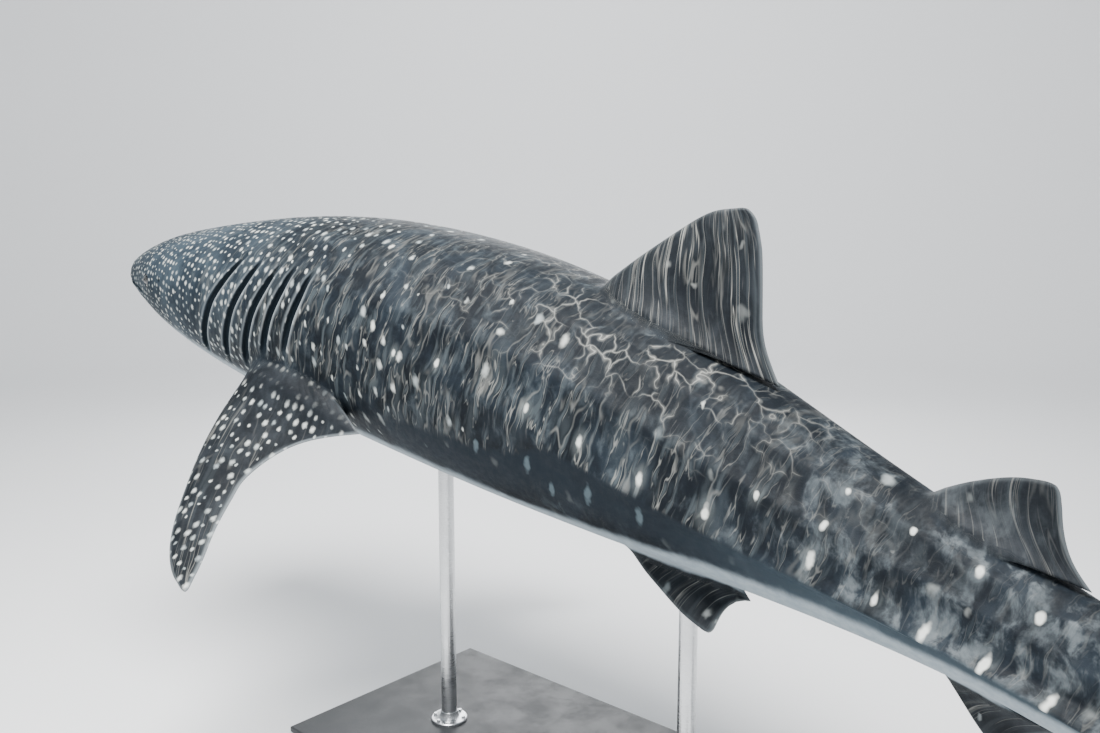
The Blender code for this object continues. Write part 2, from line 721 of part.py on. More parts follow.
def stand(guide):
    bm = bmesh.new()
    bmesh.ops.create_cube(bm, size=1.0)
    bmesh.ops.scale(bm, verts=bm.verts, vec=BASE_SIZE)
    bmesh.ops.translate(bm, verts=bm.verts, vec=(0, 0, BASE_SIZE[2] / 2))
    base = new_object("stand_base", finish_mesh(bm, "stand_base"), BASE_PAINT)
    edge = base.modifiers.new("rounded_edge", "BEVEL")
    edge.width = BASE_EDGE
    edge.segments = 2
    for name, station in ROD_STATIONS.items():
        foot = BASE_SIZE[2] + GAP
        belly = pose(station, 0.0, -bottom_of(along(station)))
        height = belly.z + ROD_SINK - foot
        bm = bmesh.new()
        bmesh.ops.create_cone(bm, cap_ends=True, segments=24, radius1=ROD_RADIUS,
                              radius2=ROD_RADIUS, depth=height)
        bmesh.ops.translate(bm, verts=bm.verts, vec=(belly.x, belly.y, foot + height / 2))
        rod = new_object(name, finish_mesh(bm, name), ROD_STEEL)
        combine(rod, guide, "DIFFERENCE")


guide = body_guide()
nodes = body_nodes()
mouth(nodes["head"])
eyes(nodes["head"])
nostrils_and_spiracles(nodes["head"])
dorsal_fins(guide)
anal_fin(guide)
paired_fins(guide)
tail_fin(guide)
stand(guide)
discard(guide)
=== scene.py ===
"""Whale shark at life size on its display stand: skin, eyes, stand fittings and studio.

Metres, +Z up. The head points towards -X and the animal's left side towards -Y.
A place on the animal is a station, which is the share of the total length behind
the snout, with an angle round the body: 0 on the back, 90 on the left flank,
180 on the belly, and negative angles on the right side.
"""

from math import cos, pi, radians, sin

import bmesh
import bpy
import numpy as np
from mathutils import Matrix, Vector
from mathutils.bvhtree import BVHTree
from mathutils.interpolate import poly_3d_calc
from mathutils.kdtree import KDTree


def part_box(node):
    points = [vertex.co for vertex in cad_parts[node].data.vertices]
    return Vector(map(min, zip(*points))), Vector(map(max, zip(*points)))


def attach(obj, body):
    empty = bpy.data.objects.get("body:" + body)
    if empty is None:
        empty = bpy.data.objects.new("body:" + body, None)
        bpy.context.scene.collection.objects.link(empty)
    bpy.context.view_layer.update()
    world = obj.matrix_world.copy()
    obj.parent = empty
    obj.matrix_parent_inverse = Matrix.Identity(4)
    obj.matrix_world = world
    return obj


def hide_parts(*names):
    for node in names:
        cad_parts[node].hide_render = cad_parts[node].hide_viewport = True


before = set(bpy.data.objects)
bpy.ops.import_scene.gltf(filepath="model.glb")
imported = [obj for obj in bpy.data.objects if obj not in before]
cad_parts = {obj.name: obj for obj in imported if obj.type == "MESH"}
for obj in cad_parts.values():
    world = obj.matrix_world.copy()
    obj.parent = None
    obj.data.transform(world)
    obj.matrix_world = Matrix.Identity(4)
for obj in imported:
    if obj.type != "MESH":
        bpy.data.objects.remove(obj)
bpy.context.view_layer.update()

# Driving dimensions, the same as the solids', in metres and shares of the length
LENGTH = 7.0
MID_HEIGHT = 1.75
POSE_STATIONS = (0.0, 0.20, 0.45, 0.70, 1.0)
TURN = (5.6, 8.0, 0.0, -12.6, -24.5)
HEAD_UP = (10.8, 12.5, 14.7, 13.4, 13.8)
ROLL = (-2.7, -1.9, -1.4, 0.0, 0.0)
POSE_CENTRE = 0.45
BASE_STATION = 0.40

NOSE = -0.0035
OUTLINE_STATIONS = (NOSE, 0.0, 0.01, 0.03, 0.06, 0.10, 0.20, 0.30, 0.40, 0.50, 0.60, 0.70, 0.80, 0.84, 0.885)
TOP = (-0.006, 0.004, 0.0145, 0.027, 0.038, 0.050, 0.0730, 0.083, 0.082, 0.0695, 0.0510, 0.0370, 0.024, 0.014, 0.003)
BOTTOM = (0.006, 0.016, 0.0285, 0.044, 0.055, 0.064, 0.0755, 0.077, 0.072, 0.0595, 0.043, 0.0285, 0.0195, 0.012, 0.003)
WIDTH = (0.0, 0.032, 0.060, 0.072, 0.0805, 0.086, 0.0887, 0.0858, 0.0773, 0.0627, 0.0439, 0.0268, 0.0155, 0.010, 0.003)

RIDGE_STATIONS = (0.16, 0.28, 0.40, 0.46, 0.55, 0.65, 0.75, 0.80, 0.885)
UPPER_RIDGE = 35.0
MIDDLE_RIDGE = 61.0
KEEL_ANGLE = (80.0, 82.0, 84.0, 90.0, 96.0, 99.0, 96.0, 92.0, 90.0)
KEEL_HEIGHT = (0.0, 0.0005, 0.0015, 0.0022, 0.003, 0.005, 0.009, 0.011, 0.0)
FLANK_RIDGE_HEIGHT = (0.0, 0.0012, 0.0018, 0.0020, 0.0020, 0.0016, 0.0010, 0.0006, 0.0)
RIDGE_REACH = 9.0
BACK_PEAK_FROM = 0.42
BACK_PEAK = 0.30

HEAD_END = 0.112
GILLS_END = 0.252
BODY_END = 0.884

GILL_LEVEL = 80.0
GILL_TOP = 53.0
GILLS = ((0.149, 0.00055, 126.0), (0.171, 0.00042, 121.0), (0.1915, 0.00038, 119.0),
         (0.2085, 0.00028, 110.0), (0.228, 0.00020, 101.0))
GILL_LEAN_LIMIT = 50.0

EYE_RADIUS = 0.030
EYE_STATION = 0.060
EYE_ANGLE = 91.0
EYE_SINK = 0.45
SPIRACLE_STATION = 0.079
SPIRACLE_ANGLE = 88.0
MOUTH_CORNER = 0.042
MOUTH_LINE = ((-0.03, -0.0075), (0.0, -0.0085), (0.02, -0.0110), (MOUTH_CORNER, -0.0145))
NOSTRIL_STATION = 0.007
NOSTRIL_ANGLE = 72.0
BARBEL_LENGTH = 0.045


def smooth_curve(knots, values):
    """Natural cubic spline through the points, straight beyond both ends."""
    x = np.array(knots, float)
    y = np.array(values, float)
    h = np.diff(x)
    n = len(x)
    system = np.eye(n)
    right = np.zeros(n)
    for i in range(1, n - 1):
        system[i, i - 1:i + 2] = h[i - 1], 2 * (h[i - 1] + h[i]), h[i]
        right[i] = 3 * ((y[i + 1] - y[i]) / h[i] - (y[i] - y[i - 1]) / h[i - 1])
    c = np.linalg.solve(system, right)
    b = np.diff(y) / h - h * (2 * c[:-1] + c[1:]) / 3
    d = np.diff(c) / (3 * h)
    end_slope = b[-1] + h[-1] * (2 * c[-2] + 3 * h[-1] * d[-1])

    def value(t):
        t = np.asarray(t, float)
        i = np.clip(np.searchsorted(x, t) - 1, 0, n - 2)
        e = t - x[i]
        inside = y[i] + e * (b[i] + e * (c[i] + e * d[i]))
        outside = np.where(t < x[0], y[0] + b[0] * (t - x[0]), y[-1] + end_slope * (t - x[-1]))
        return np.where((t < x[0]) | (t > x[-1]), outside, inside)

    return value


def between(low, high, value):
    """Share of the way from low to high, held at 0 and 1 beyond them."""
    return np.clip((value - low) / (high - low), 0.0, 1.0)


def eased(share):
    return share * share * (3 - 2 * share)


def bump_at(value, centre, reach):
    """Smooth hump of height 1 round a centre."""
    return np.exp(-((value - centre) / reach) ** 2)


class Spine:
    """The line through the animal, with its tailward, left and up directions."""

    def __init__(self):
        self.stations = np.linspace(-0.05, 1.05, 1101)
        turn, rise, roll = (np.radians(smooth_curve(POSE_STATIONS, angles)(self.stations))
                            for angles in (TURN, HEAD_UP, ROLL))
        tailward = np.stack((np.cos(rise) * np.cos(turn), np.cos(rise) * np.sin(turn), -np.sin(rise)), -1)
        level_left = np.stack((np.sin(turn), -np.cos(turn), 0 * turn), -1)
        level_up = np.cross(level_left, tailward)
        roll = roll[:, None]
        left = level_left * np.cos(roll) + level_up * np.sin(roll)
        up = level_up * np.cos(roll) - level_left * np.sin(roll)
        step = LENGTH * (self.stations[1] - self.stations[0])
        points = np.vstack(([0, 0, 0], np.cumsum((tailward[:-1] + tailward[1:]) * step / 2, 0)))
        self.tables = [points, tailward, left, up]
        base = self.at(BASE_STATION)[0]
        centre = self.at(POSE_CENTRE)[0]
        points += np.array((-base[0], -base[1], MID_HEIGHT - centre[2]))

    def at(self, station):
        """Point, tailward, left and up at the stations."""
        return [np.stack([np.interp(station, self.stations, table[:, k]) for k in range(3)], -1)
                for table in self.tables]


spine = Spine()


def pose(station, left, up):
    """World points from shares of the length."""
    point, _, to_left, to_up = spine.at(station)
    left, up = (np.asarray(v, float)[..., None] for v in (left, up))
    return point + (to_left * left + to_up * up) * LENGTH


def along(station):
    """Spacing for the outline's splines that makes the snout blunt."""
    return np.sqrt(np.maximum(0.0, station - NOSE))


OUTLINE_KNOTS = along(np.array(OUTLINE_STATIONS))
top_of = smooth_curve(OUTLINE_KNOTS, TOP)
bottom_of = smooth_curve(OUTLINE_KNOTS, BOTTOM)
width_of = smooth_curve(OUTLINE_KNOTS, WIDTH)
keel_angle = smooth_curve(RIDGE_STATIONS, KEEL_ANGLE)
keel_height = smooth_curve(RIDGE_STATIONS, KEEL_HEIGHT)
flank_ridge_height = smooth_curve(RIDGE_STATIONS, FLANK_RIDGE_HEIGHT)
mouth_line = smooth_curve(*zip(*MOUTH_LINE))


def body_top(station):
    return top_of(along(station))


def ridge_lift(station, angle):
    """Height of the three ridges of a flank, each with a narrow rounded crest."""
    station = np.clip(station, RIDGE_STATIONS[0], RIDGE_STATIONS[-1])
    ridges = ((UPPER_RIDGE, flank_ridge_height), (MIDDLE_RIDGE, flank_ridge_height),
              (keel_angle(station), keel_height))
    total = 0.0
    for crest, height in ridges:
        off = np.sqrt(((np.abs(angle) - crest) / RIDGE_REACH) ** 2 + 0.006) - 0.077
        total = total + height(station) * np.maximum(0.0, 1 - off) ** 1.35
    return total


def section(station, angle, lift=0.0):
    """Left and up of the skin at an angle, lifted outwards, in shares of the length."""
    u = along(station)
    top, bottom, width = top_of(u), bottom_of(u), width_of(u)
    middle = (top - bottom) / 2 * (1 - eased(between(NOSE, 0.05, station)))
    a = np.radians(np.abs(angle))
    left = width * np.abs(np.sin(a)) ** 0.9
    peak = 1 + BACK_PEAK * eased(between(BACK_PEAK_FROM, 0.60, station))
    above = middle + (top - middle) * np.abs(np.cos(a)) ** peak
    below = middle - (bottom + middle) * np.abs(np.cos(a)) ** 0.9
    up = np.where(np.cos(a) > 0, above, below)
    lift = lift + ridge_lift(station, angle)
    reach = np.sqrt(left * left + (up - middle) ** 2)
    grow = 1 + lift / np.maximum(reach, 0.0005)
    left = left * grow
    up = middle + (up - middle) * grow
    return np.sign(angle) * left, up


def surface(station, angle, lift=0.0):
    """World points of the skin."""
    return pose(station, *section(station, angle, lift))


def skin_frame(station, angle):
    """One point on the skin with its outward, tailward and roundward directions."""
    here = surface(station, angle)
    tailward = surface(station + 0.001, angle) - here
    roundward = surface(station, angle + 0.5) - here
    outward = np.cross(tailward, roundward)
    outward *= np.sign(np.dot(outward, surface(station, angle, 0.001) - here))
    roundward = np.cross(outward, tailward)
    return [here] + [v / np.linalg.norm(v) for v in (outward, tailward, roundward)]


# The skin's grid of rings and columns

COLUMNS_BETWEEN = (8, 7, 4, 7, 4, 13, 8, 18)
HALF_COLUMNS = sum(COLUMNS_BETWEEN)
HEAD_RINGS = 60
TRUNK_RING_SPACING = 0.022

# Across one gill slit: place where it is shut, place where it is open, and lift, in
# metres, then how deep in the slit it lies, which darkens the colour as painted shade, and how much it is the pale rim
# behind, a painted highlight
GILL_PROFILE = ((-0.040, -0.063, 0.0020, 0.0, 0.0), (-0.032, -0.045, 0.0050, 0.0, 0.0),
                (-0.025, -0.029, 0.0090, 0.0, 0.0), (-0.019, -0.015, 0.0125, 0.0, 0.2),
                (-0.0145, -0.007, 0.0140, 0.0, 0.4), (-0.0105, -0.002, 0.0130, 0.1, 0.2),
                (-0.007, 0.000, 0.0090, 0.4, 0.0), (-0.0035, -0.003, 0.0020, 0.8, 0.0),
                (0.000, -0.010, -0.0110, 1.0, 0.0), (0.003, -0.014, -0.0240, 1.0, 0.0),
                (0.006, -0.008, -0.0340, 1.0, 0.0), (0.009, 0.004, -0.0340, 1.0, 0.0),
                (0.012, 0.014, -0.0260, 1.0, 0.0), (0.0155, 0.022, -0.0140, 0.8, 0.0),
                (0.019, 0.029, -0.0030, 0.3, 0.5), (0.023, 0.034, 0.0012, 0.0, 1.0),
                (0.027, 0.040, 0.0016, 0.0, 0.5), (0.032, 0.050, 0.0, 0.0, 0.0))


def column_angles(station):
    """Angles from back to belly, closer together at the ridges and the keel."""
    keel = float(keel_angle(np.clip(station, RIDGE_STATIONS[0], RIDGE_STATIONS[-1])))
    stops = (0.0, 29.0, 41.0, 55.0, 67.0, keel - 8, keel + 8, 112.0, 180.0)
    places = np.concatenate(([0], np.cumsum(COLUMNS_BETWEEN)))
    half = np.interp(np.arange(HALF_COLUMNS + 1), places, stops)
    return np.concatenate((-half[::-1], half[1:]))


def gill_window(angle, lower_end):
    """1 along a gill slit, falling to 0 at its two ends."""
    a = np.abs(angle)
    upper = eased(between(GILL_TOP - 3, GILL_TOP + 24, a)) ** 0.8
    return upper * (1 - eased(between(lower_end - 14, lower_end + 3, a)))


def gill_slope(angle):
    return GILL_LEAN_LIMIT * np.tanh((GILL_LEVEL - np.abs(angle)) / GILL_LEAN_LIMIT)


def plain_row(station):
    angles = column_angles(station)
    nothing = np.zeros_like(angles)
    return np.stack((nothing + station, angles, nothing, nothing, nothing))


def gill_rows(gill):
    """Rows of station, angle, lift, depth and rim across one gill slit."""
    level, lean, lower_end = gill
    angles = column_angles(level)
    window = gill_window(angles, lower_end)
    line = level + lean * gill_slope(angles)
    rows = []
    for shut, open_at, lift, depth, rim in GILL_PROFILE:
        station = line + (shut + (open_at - shut) * window) / LENGTH
        rows.append(np.stack((station, angles, lift * window / LENGTH, depth * window, rim * window)))
    return rows


def rows_between(first, last, count):
    """Plain rows that lead from one row to the next one's place."""
    return [first + (last - first) * k / (count + 1) for k in range(1, count + 1)]


def skin_rows():
    """All rings from the snout to the end of the body inside the tail fin."""
    rows = [plain_row(NOSE + (HEAD_END - NOSE) * (k / HEAD_RINGS) ** 1.7) for k in range(HEAD_RINGS + 1)]
    for number, gill in enumerate(GILLS):
        across = gill_rows(gill)
        rows += rows_between(rows[-1], across[0], 7 if number == 0 else 1)
        rows += across
    end = plain_row(GILLS_END)
    rows += rows_between(rows[-1], end, 3)
    count = round((BODY_END - GILLS_END) * LENGTH / TRUNK_RING_SPACING)
    rows += [plain_row(s) for s in np.linspace(GILLS_END, BODY_END, count + 1)]
    return rows


# Face and head details, in metres from the place that each grows round

MOUTH_GROOVE = ((0.0, 0.0050, -0.015), (0.016, 0.012, 0.0026), (-0.017, 0.012, 0.0034),
                (0.040, 0.010, -0.0012), (-0.044, 0.012, -0.0016))
EYE_LID = ((0.0, -0.030), (0.018, -0.026), (0.0225, -0.014), (0.0245, -0.002), (0.0260, 0.0040),
           (0.0285, 0.0068), (0.0325, 0.0066), (0.0370, 0.0038), (0.0410, 0.0026), (0.0460, 0.0030),
           (0.0520, 0.0014), (0.0640, 0.0))
HEAD_DETAIL_STATION = 0.10
FINE_EDGE = 0.0055
EYE_EDGE = 0.0030


def measured_from(points, station, angle_size, angles):
    """Outward, tailward and roundward distances from a place kept on both flanks."""
    found = np.zeros((len(points), 3))
    for side in (1, -1):
        here, outward, tailward, roundward = skin_frame(station, side * angle_size)
        mine = np.sign(angles) == side
        off = points[mine] - here
        found[mine] = np.stack((off @ outward, off @ tailward, off @ roundward * side), -1)
        if side == 1:
            found[angles == 0] = 1.0
    return found


def head_details(station, angle, points):
    """Lift along the skin's normal, and depth in a recess, of mouth, eye and openings."""
    _, up = section(station, angle)
    above_line = (up - mouth_line(station)) * LENGTH
    mouth = 1 - eased(between(MOUTH_CORNER - 0.008, MOUTH_CORNER + 0.006, station))
    lift = sum(height * bump_at(above_line, place, reach) for place, reach, height in MOUTH_GROOVE) * mouth
    depth = bump_at(above_line, 0.0, 0.0070) * mouth

    eye = measured_from(points, EYE_STATION, EYE_ANGLE, angle)
    away = np.hypot(eye[:, 1], eye[:, 2])
    near = np.abs(eye[:, 0]) < 0.12
    lift = lift + np.where(near, np.interp(away, *zip(*EYE_LID)), 0.0)
    depth = np.maximum(depth, np.where(near, 1 - between(0.0235, 0.0275, away), 0.0))

    spiracle = measured_from(points, SPIRACLE_STATION, SPIRACLE_ANGLE, angle)
    away = np.hypot(spiracle[:, 1] / 0.013, spiracle[:, 2] / 0.019)
    hole = 1 - eased(between(0.45, 1.05, away))
    lift = lift - 0.022 * hole + 0.0028 * bump_at(away, 1.45, 0.40)
    depth = np.maximum(depth, hole)

    nostril = measured_from(points, NOSTRIL_STATION + 0.004, NOSTRIL_ANGLE - 2, angle)
    away = np.hypot(nostril[:, 1] / 0.022, nostril[:, 2] / 0.0085)
    hole = (1 - eased(between(0.4, 1.0, away))) * (np.abs(nostril[:, 0]) < 0.08)
    lift = lift - 0.014 * hole + 0.0030 * bump_at(away, 1.6, 0.5)
    depth = np.maximum(depth, hole)
    return lift, depth


def edge_limit(station, angle, points):
    """Longest edge wanted at a place of the head."""
    _, up = section(station, angle)
    above_line = np.abs(up - mouth_line(station)) * LENGTH
    near_mouth = (above_line < 0.050) & (station < MOUTH_CORNER + 0.008)
    limit = np.where(near_mouth, np.where(above_line < 0.026, FINE_EDGE, 2.2 * FINE_EDGE), 1.0)
    for place, spread_angle, reach, edge in ((EYE_STATION, EYE_ANGLE, 0.056, EYE_EDGE),
                                             (SPIRACLE_STATION, SPIRACLE_ANGLE, 0.034, EYE_EDGE),
                                             (NOSTRIL_STATION + 0.004, NOSTRIL_ANGLE - 2, 0.040, EYE_EDGE)):
        away = np.linalg.norm(measured_from(points, place, spread_angle, angle), axis=1)
        limit = np.where(away < reach, np.minimum(limit, edge), limit)
    return limit


def layer_values(bm, layers):
    """Values of the vertex layers as arrays."""
    return [np.array([v[layer] for v in bm.verts]) for layer in layers]


def place_vertices(bm, points):
    for vert, point in zip(bm.verts, points):
        vert.co = point


def body_mesh():
    """The body's skin from snout to tail, closed, with its layers of place and tone."""
    rows = skin_rows()
    columns = 2 * HALF_COLUMNS
    bm = bmesh.new()
    layers = [bm.verts.layers.float.new(name) for name in ("station", "angle", "lift", "depth", "rim")]
    bmesh.ops.create_grid(bm, x_segments=len(rows) - 1, y_segments=columns, size=1.0)
    for vert in bm.verts:
        row = rows[round((vert.co.x + 1) / 2 * (len(rows) - 1))]
        column = round((vert.co.y + 1) / 2 * columns)
        for layer, value in zip(layers, row[:, column]):
            vert[layer] = value
    for step in range(3):
        station, angle, lift, _, _ = layer_values(bm, layers)
        points = surface(station, angle, lift)
        place_vertices(bm, points)
        head = station < HEAD_DETAIL_STATION
        limit = np.full(len(points), 9.0)
        limit[head] = edge_limit(station[head], angle[head], points[head])
        bm.verts.index_update()
        long_edges = [e for e in bm.edges
                      if e.calc_length() > min(limit[e.verts[0].index], limit[e.verts[1].index]) * 1.3]
        if not long_edges:
            break
        bmesh.ops.subdivide_edges(bm, edges=long_edges, cuts=1, use_grid_fill=True)
    station, angle, lift, _, _ = layer_values(bm, layers)
    place_vertices(bm, surface(station, angle, lift))
    bmesh.ops.remove_doubles(bm, verts=bm.verts, dist=0.00002)
    open_edges = [e for e in bm.edges if e.is_boundary]
    bmesh.ops.holes_fill(bm, edges=open_edges, sides=0)
    bmesh.ops.recalc_face_normals(bm, faces=bm.faces)
    bm.normal_update()
    carve_head(bm, layers)
    return bm, layers


def carve_head(bm, layers):
    """Press the mouth, nostrils, spiracles and eye sockets into the smooth head."""
    station, angle, _, depth, _ = layer_values(bm, layers)
    head = np.flatnonzero(station < HEAD_DETAIL_STATION)
    verts = list(bm.verts)
    points = np.array([verts[i].co for i in head])
    lift, deep = head_details(station[head], angle[head], points)
    for i, rise, shade in zip(head, lift, deep):
        verts[i].co += verts[i].normal * float(rise)
        verts[i][layers[3]] = max(depth[i], float(shade))


# Fins: root rings below the skin, then the leading and trailing edge out to the tip

def above_back(station, height, side):
    return pose(station, side, body_top(station) + height)


def below_belly(station, depth, side):
    return pose(station, side, -bottom_of(along(station)) - depth)


def off_spine(station, up, side):
    return pose(station, side, up)


def paired_plane(station, left, up, droop, side):
    """Flat frame of a paired fin, rooted at one place and drooping from level."""
    point, tailward, to_left, upward = spine.at(station)
    to_left = to_left * side
    root = point + (to_left * left + upward * up) * LENGTH
    out = to_left * cos(radians(droop)) - upward * sin(radians(droop))
    normal = to_left * sin(radians(droop)) + upward * cos(radians(droop))

    def place(a, b, fat):
        a, b, fat = (np.asarray(v)[..., None] for v in np.broadcast_arrays(a, b, fat))
        return root + (tailward * a + out * b + normal * fat) * LENGTH

    return place


class Fin:
    """Outline, thickness and markings of one fin."""

    def __init__(self, place, root, lead, trail, tips, thickness, rings, markings):
        self.place, self.root, self.lead, self.trail, self.tips = place, root, lead, trail, tips
        self.thickness, self.rings, self.markings = thickness, rings, markings


FIN_EDGE = 0.003
TIP_RINGS = 7
CHORD_COLUMNS = 24

FIRST_DORSAL = Fin(
    above_back,
    root=[((0.416, -0.016), (0.498, -0.012)), ((0.4165, -0.008), (0.500, 0.0010))],
    lead=[(0.419, 0.003), (0.440, 0.028), (0.464, 0.0538), (0.4715, 0.0615), (0.4820, 0.0705), (0.4950, 0.0775)],
    trail=[(0.551, 0.003), (0.5355, 0.0190), (0.5280, 0.0374), (0.5218, 0.0576), (0.5178, 0.0676), (0.5125, 0.0765)],
    tips=[(0.5045, 0.0808)],
    thickness=(0.002, 0.009, 0.010, 0.010), rings=60, markings="dorsal")
SECOND_DORSAL = Fin(
    above_back,
    root=[((0.640, -0.012), (0.690, -0.008)), ((0.6415, -0.006), (0.691, 0.0008))],
    lead=[(0.645, 0.002), (0.6545, 0.0105), (0.6616, 0.0169), (0.6722, 0.0251), (0.6827, 0.0317), (0.6920, 0.0357)],
    trail=[(0.726, 0.003), (0.7165, 0.0090), (0.7100, 0.0165), (0.7063, 0.0235), (0.7046, 0.0278), (0.7030, 0.0316)],
    tips=[(0.6993, 0.0366)],
    thickness=(0.0012, 0.0045, 0.0075, 0.005), rings=36, markings="second")
ANAL = Fin(
    below_belly,
    root=[((0.673, -0.010), (0.706, -0.008)), ((0.674, -0.005), (0.707, 0.0008))],
    lead=[(0.676, 0.002), (0.686, 0.010), (0.697, 0.019), (0.7085, 0.0265)],
    trail=[(0.733, 0.003), (0.724, 0.010), (0.719, 0.018), (0.7172, 0.0255)],
    tips=[(0.7150, 0.0288)],
    thickness=(0.0011, 0.0035, 0.005, 0.004), rings=30, markings="belly")


def pectoral(side):
    return Fin(
        paired_plane(0.225, 0.080, -0.038, 38.0, side),
        root=[((-0.036, -0.030), (0.040, -0.030)), ((-0.0355, -0.002), (0.046, -0.002))],
        lead=[(-0.034, 0.010), (-0.0281, 0.0391), (-0.0159, 0.0711), (-0.0024, 0.0961),
              (0.0097, 0.1158), (0.0241, 0.1331), (0.0390, 0.1440), (0.0490, 0.1478)],
        trail=[(0.0800, 0.0118), (0.0450, 0.0375), (0.0322, 0.0690), (0.0347, 0.0860),
               (0.0420, 0.1080), (0.0510, 0.1265), (0.0560, 0.1385), (0.0588, 0.1455)],
        tips=[(0.0585, 0.1497)],
        thickness=(0.0014, 0.0065, 0.0075, 0.012), rings=66, markings="pectoral")


def pelvic(side):
    return Fin(
        paired_plane(0.525, 0.022, -0.056, 40.0, side),
        root=[((-0.044, -0.020), (0.014, -0.024)), ((-0.044, -0.010), (0.026, -0.015))],
        lead=[(-0.0400, 0.0025), (-0.0190, 0.0092), (0.0020, 0.0150), (0.0207, 0.0196), (0.0345, 0.0212)],
        trail=[(0.0500, -0.0070), (0.0455, -0.0040), (0.0418, 0.0015), (0.0412, 0.0085), (0.0426, 0.0160)],
        tips=[(0.0418, 0.0206)],
        thickness=(0.0011, 0.0035, 0.0025, 0.006), rings=28, markings="belly")


CAUDAL = Fin(
    off_spine, root=[],
    lead=[(0.889, -0.1080), (0.857, -0.077), (0.830, -0.048), (0.806, -0.020), (0.797, 0.0),
          (0.805, 0.020), (0.838, 0.060), (0.876, 0.102), (0.926, 0.150), (0.966, 0.187)],
    trail=[(0.9062, -0.1080), (0.900, -0.077), (0.8945, -0.048), (0.8955, -0.020), (0.900, 0.0),
           (0.8975, 0.022), (0.906, 0.060), (0.930, 0.102), (0.962, 0.150), (0.984, 0.187)],
    tips=[(0.987, 0.2003), (0.9025, -0.1158)],
    thickness=(0.0012, 0.0048, 0.0030, 0.010), rings=110, markings="tail")


def spread(points, count):
    """Points on a smooth curve through the given ones, evenly by their order."""
    order = np.arange(len(points))
    where = np.linspace(0, len(points) - 1, count)
    return np.stack([smooth_curve(order, [p[axis] for p in points])(where) for axis in (0, 1)], -1)


def rounded(start, before, tip, arriving):
    """Points that carry an edge on smoothly from its end to the fin's tip."""
    reach = np.linalg.norm(tip - start)
    leave = (start - before) / np.linalg.norm(start - before) * reach
    arrive = arriving / np.linalg.norm(arriving) * reach
    points = []
    for k in range(1, TIP_RINGS + 1):
        t = sin(pi / 2 * k / TIP_RINGS)
        points.append(start * (2 * t ** 3 - 3 * t ** 2 + 1) + leave * (t ** 3 - 2 * t ** 2 + t)
                      + tip * (3 * t ** 2 - 2 * t ** 3) + arrive * (t ** 3 - t ** 2))
    return points


def fin_rings(fin):
    """Front, back, half thickness and kept share of the chord of every ring."""
    tip, body, flare, flare_height = fin.thickness
    lead, trail = spread(fin.lead, fin.rings), spread(fin.trail, fin.rings)
    rings = []
    full_chord = fin.trail[0][0] - fin.lead[0][0]
    for front, back in fin.root:
        cut = min(1.0, (back[0] - front[0]) / full_chord)
        rings.append((np.array(front), np.array(back), tip + body + flare, cut, 1.0))
    base = fin.lead[0][1] if fin.root else 0.0
    heights = [abs(p[1] - base) for p in fin.lead]
    for front, back in zip(lead, trail):
        out = abs(front[1] - base)
        reach = heights[-1] if front[1] >= base else heights[0]
        half = tip + body * (1 - min(1.0, out / reach)) + flare * np.exp(-out / flare_height)
        rings.append((front, back, half, 1.0, 1.0))
    for tip_point, at_start in zip(fin.tips, (False, True)):
        end, inner = (rings[0], rings[1]) if at_start else (rings[-1], rings[-2])
        front, back, half = end[:3]
        tip_point = np.array(tip_point)
        fronts = rounded(front, inner[0], tip_point, back - front)
        backs = rounded(back, inner[1], tip_point, front - back)
        for k in range(TIP_RINGS):
            ring = (fronts[k], backs[k], half, 1.0, cos(pi / 2 * (k + 1) / TIP_RINGS))
            if at_start:
                rings.insert(0, ring)
            else:
                rings.append(ring)
    return rings


def fin_mesh(fin):
    """One closed fin, with its share of chord, side and reach kept as layers."""
    rings = fin_rings(fin)
    bm = bmesh.new()
    names = ("chord_share", "fin_side", "chord_place", "fin_reach", "thin_edge")
    layers = [bm.verts.layers.float.new(name) for name in names]
    bmesh.ops.create_grid(bm, x_segments=len(rings) - 1, y_segments=2 * CHORD_COLUMNS, size=1.0)
    for vert in bm.verts:
        front, back, half, cut, narrow = rings[round((vert.co.x + 1) / 2 * (len(rings) - 1))]
        side = 1.0 if vert.co.y > 0 else -1.0
        share = (1 - cos(pi * abs(vert.co.y))) / 2
        chord = max(1e-6, (back[0] - front[0]) * LENGTH)
        fat = 2.6 * (share * cut) ** 0.5 * (1 - share * cut) * half * LENGTH
        fat = max(fat, FIN_EDGE) * narrow
        from_edge = min(1.0, min(share, 1 - share) * chord / (1.5 * FIN_EDGE))
        fat *= (1 - (1 - from_edge) ** 2) ** 0.5
        a, b = front + (back - front) * share
        if cut < 1.0:
            share = (a - fin.lead[0][0]) / (fin.trail[0][0] - fin.lead[0][0])
            chord = (fin.trail[0][0] - fin.lead[0][0]) * LENGTH
        values = (share, side * (abs(vert.co.y) < 0.999), a * LENGTH, b * LENGTH, chord)
        for layer, value in zip(layers, values):
            vert[layer] = value
        vert.co = Vector(fin.place(a, b, side * fat / LENGTH).reshape(3))
    bmesh.ops.remove_doubles(bm, verts=bm.verts, dist=0.00002)
    open_edges = [e for e in bm.edges if e.is_boundary]
    bmesh.ops.holes_fill(bm, edges=open_edges, sides=0)
    bmesh.ops.recalc_face_normals(bm, faces=bm.faces)
    return bm


# Places on the skin that the markings follow

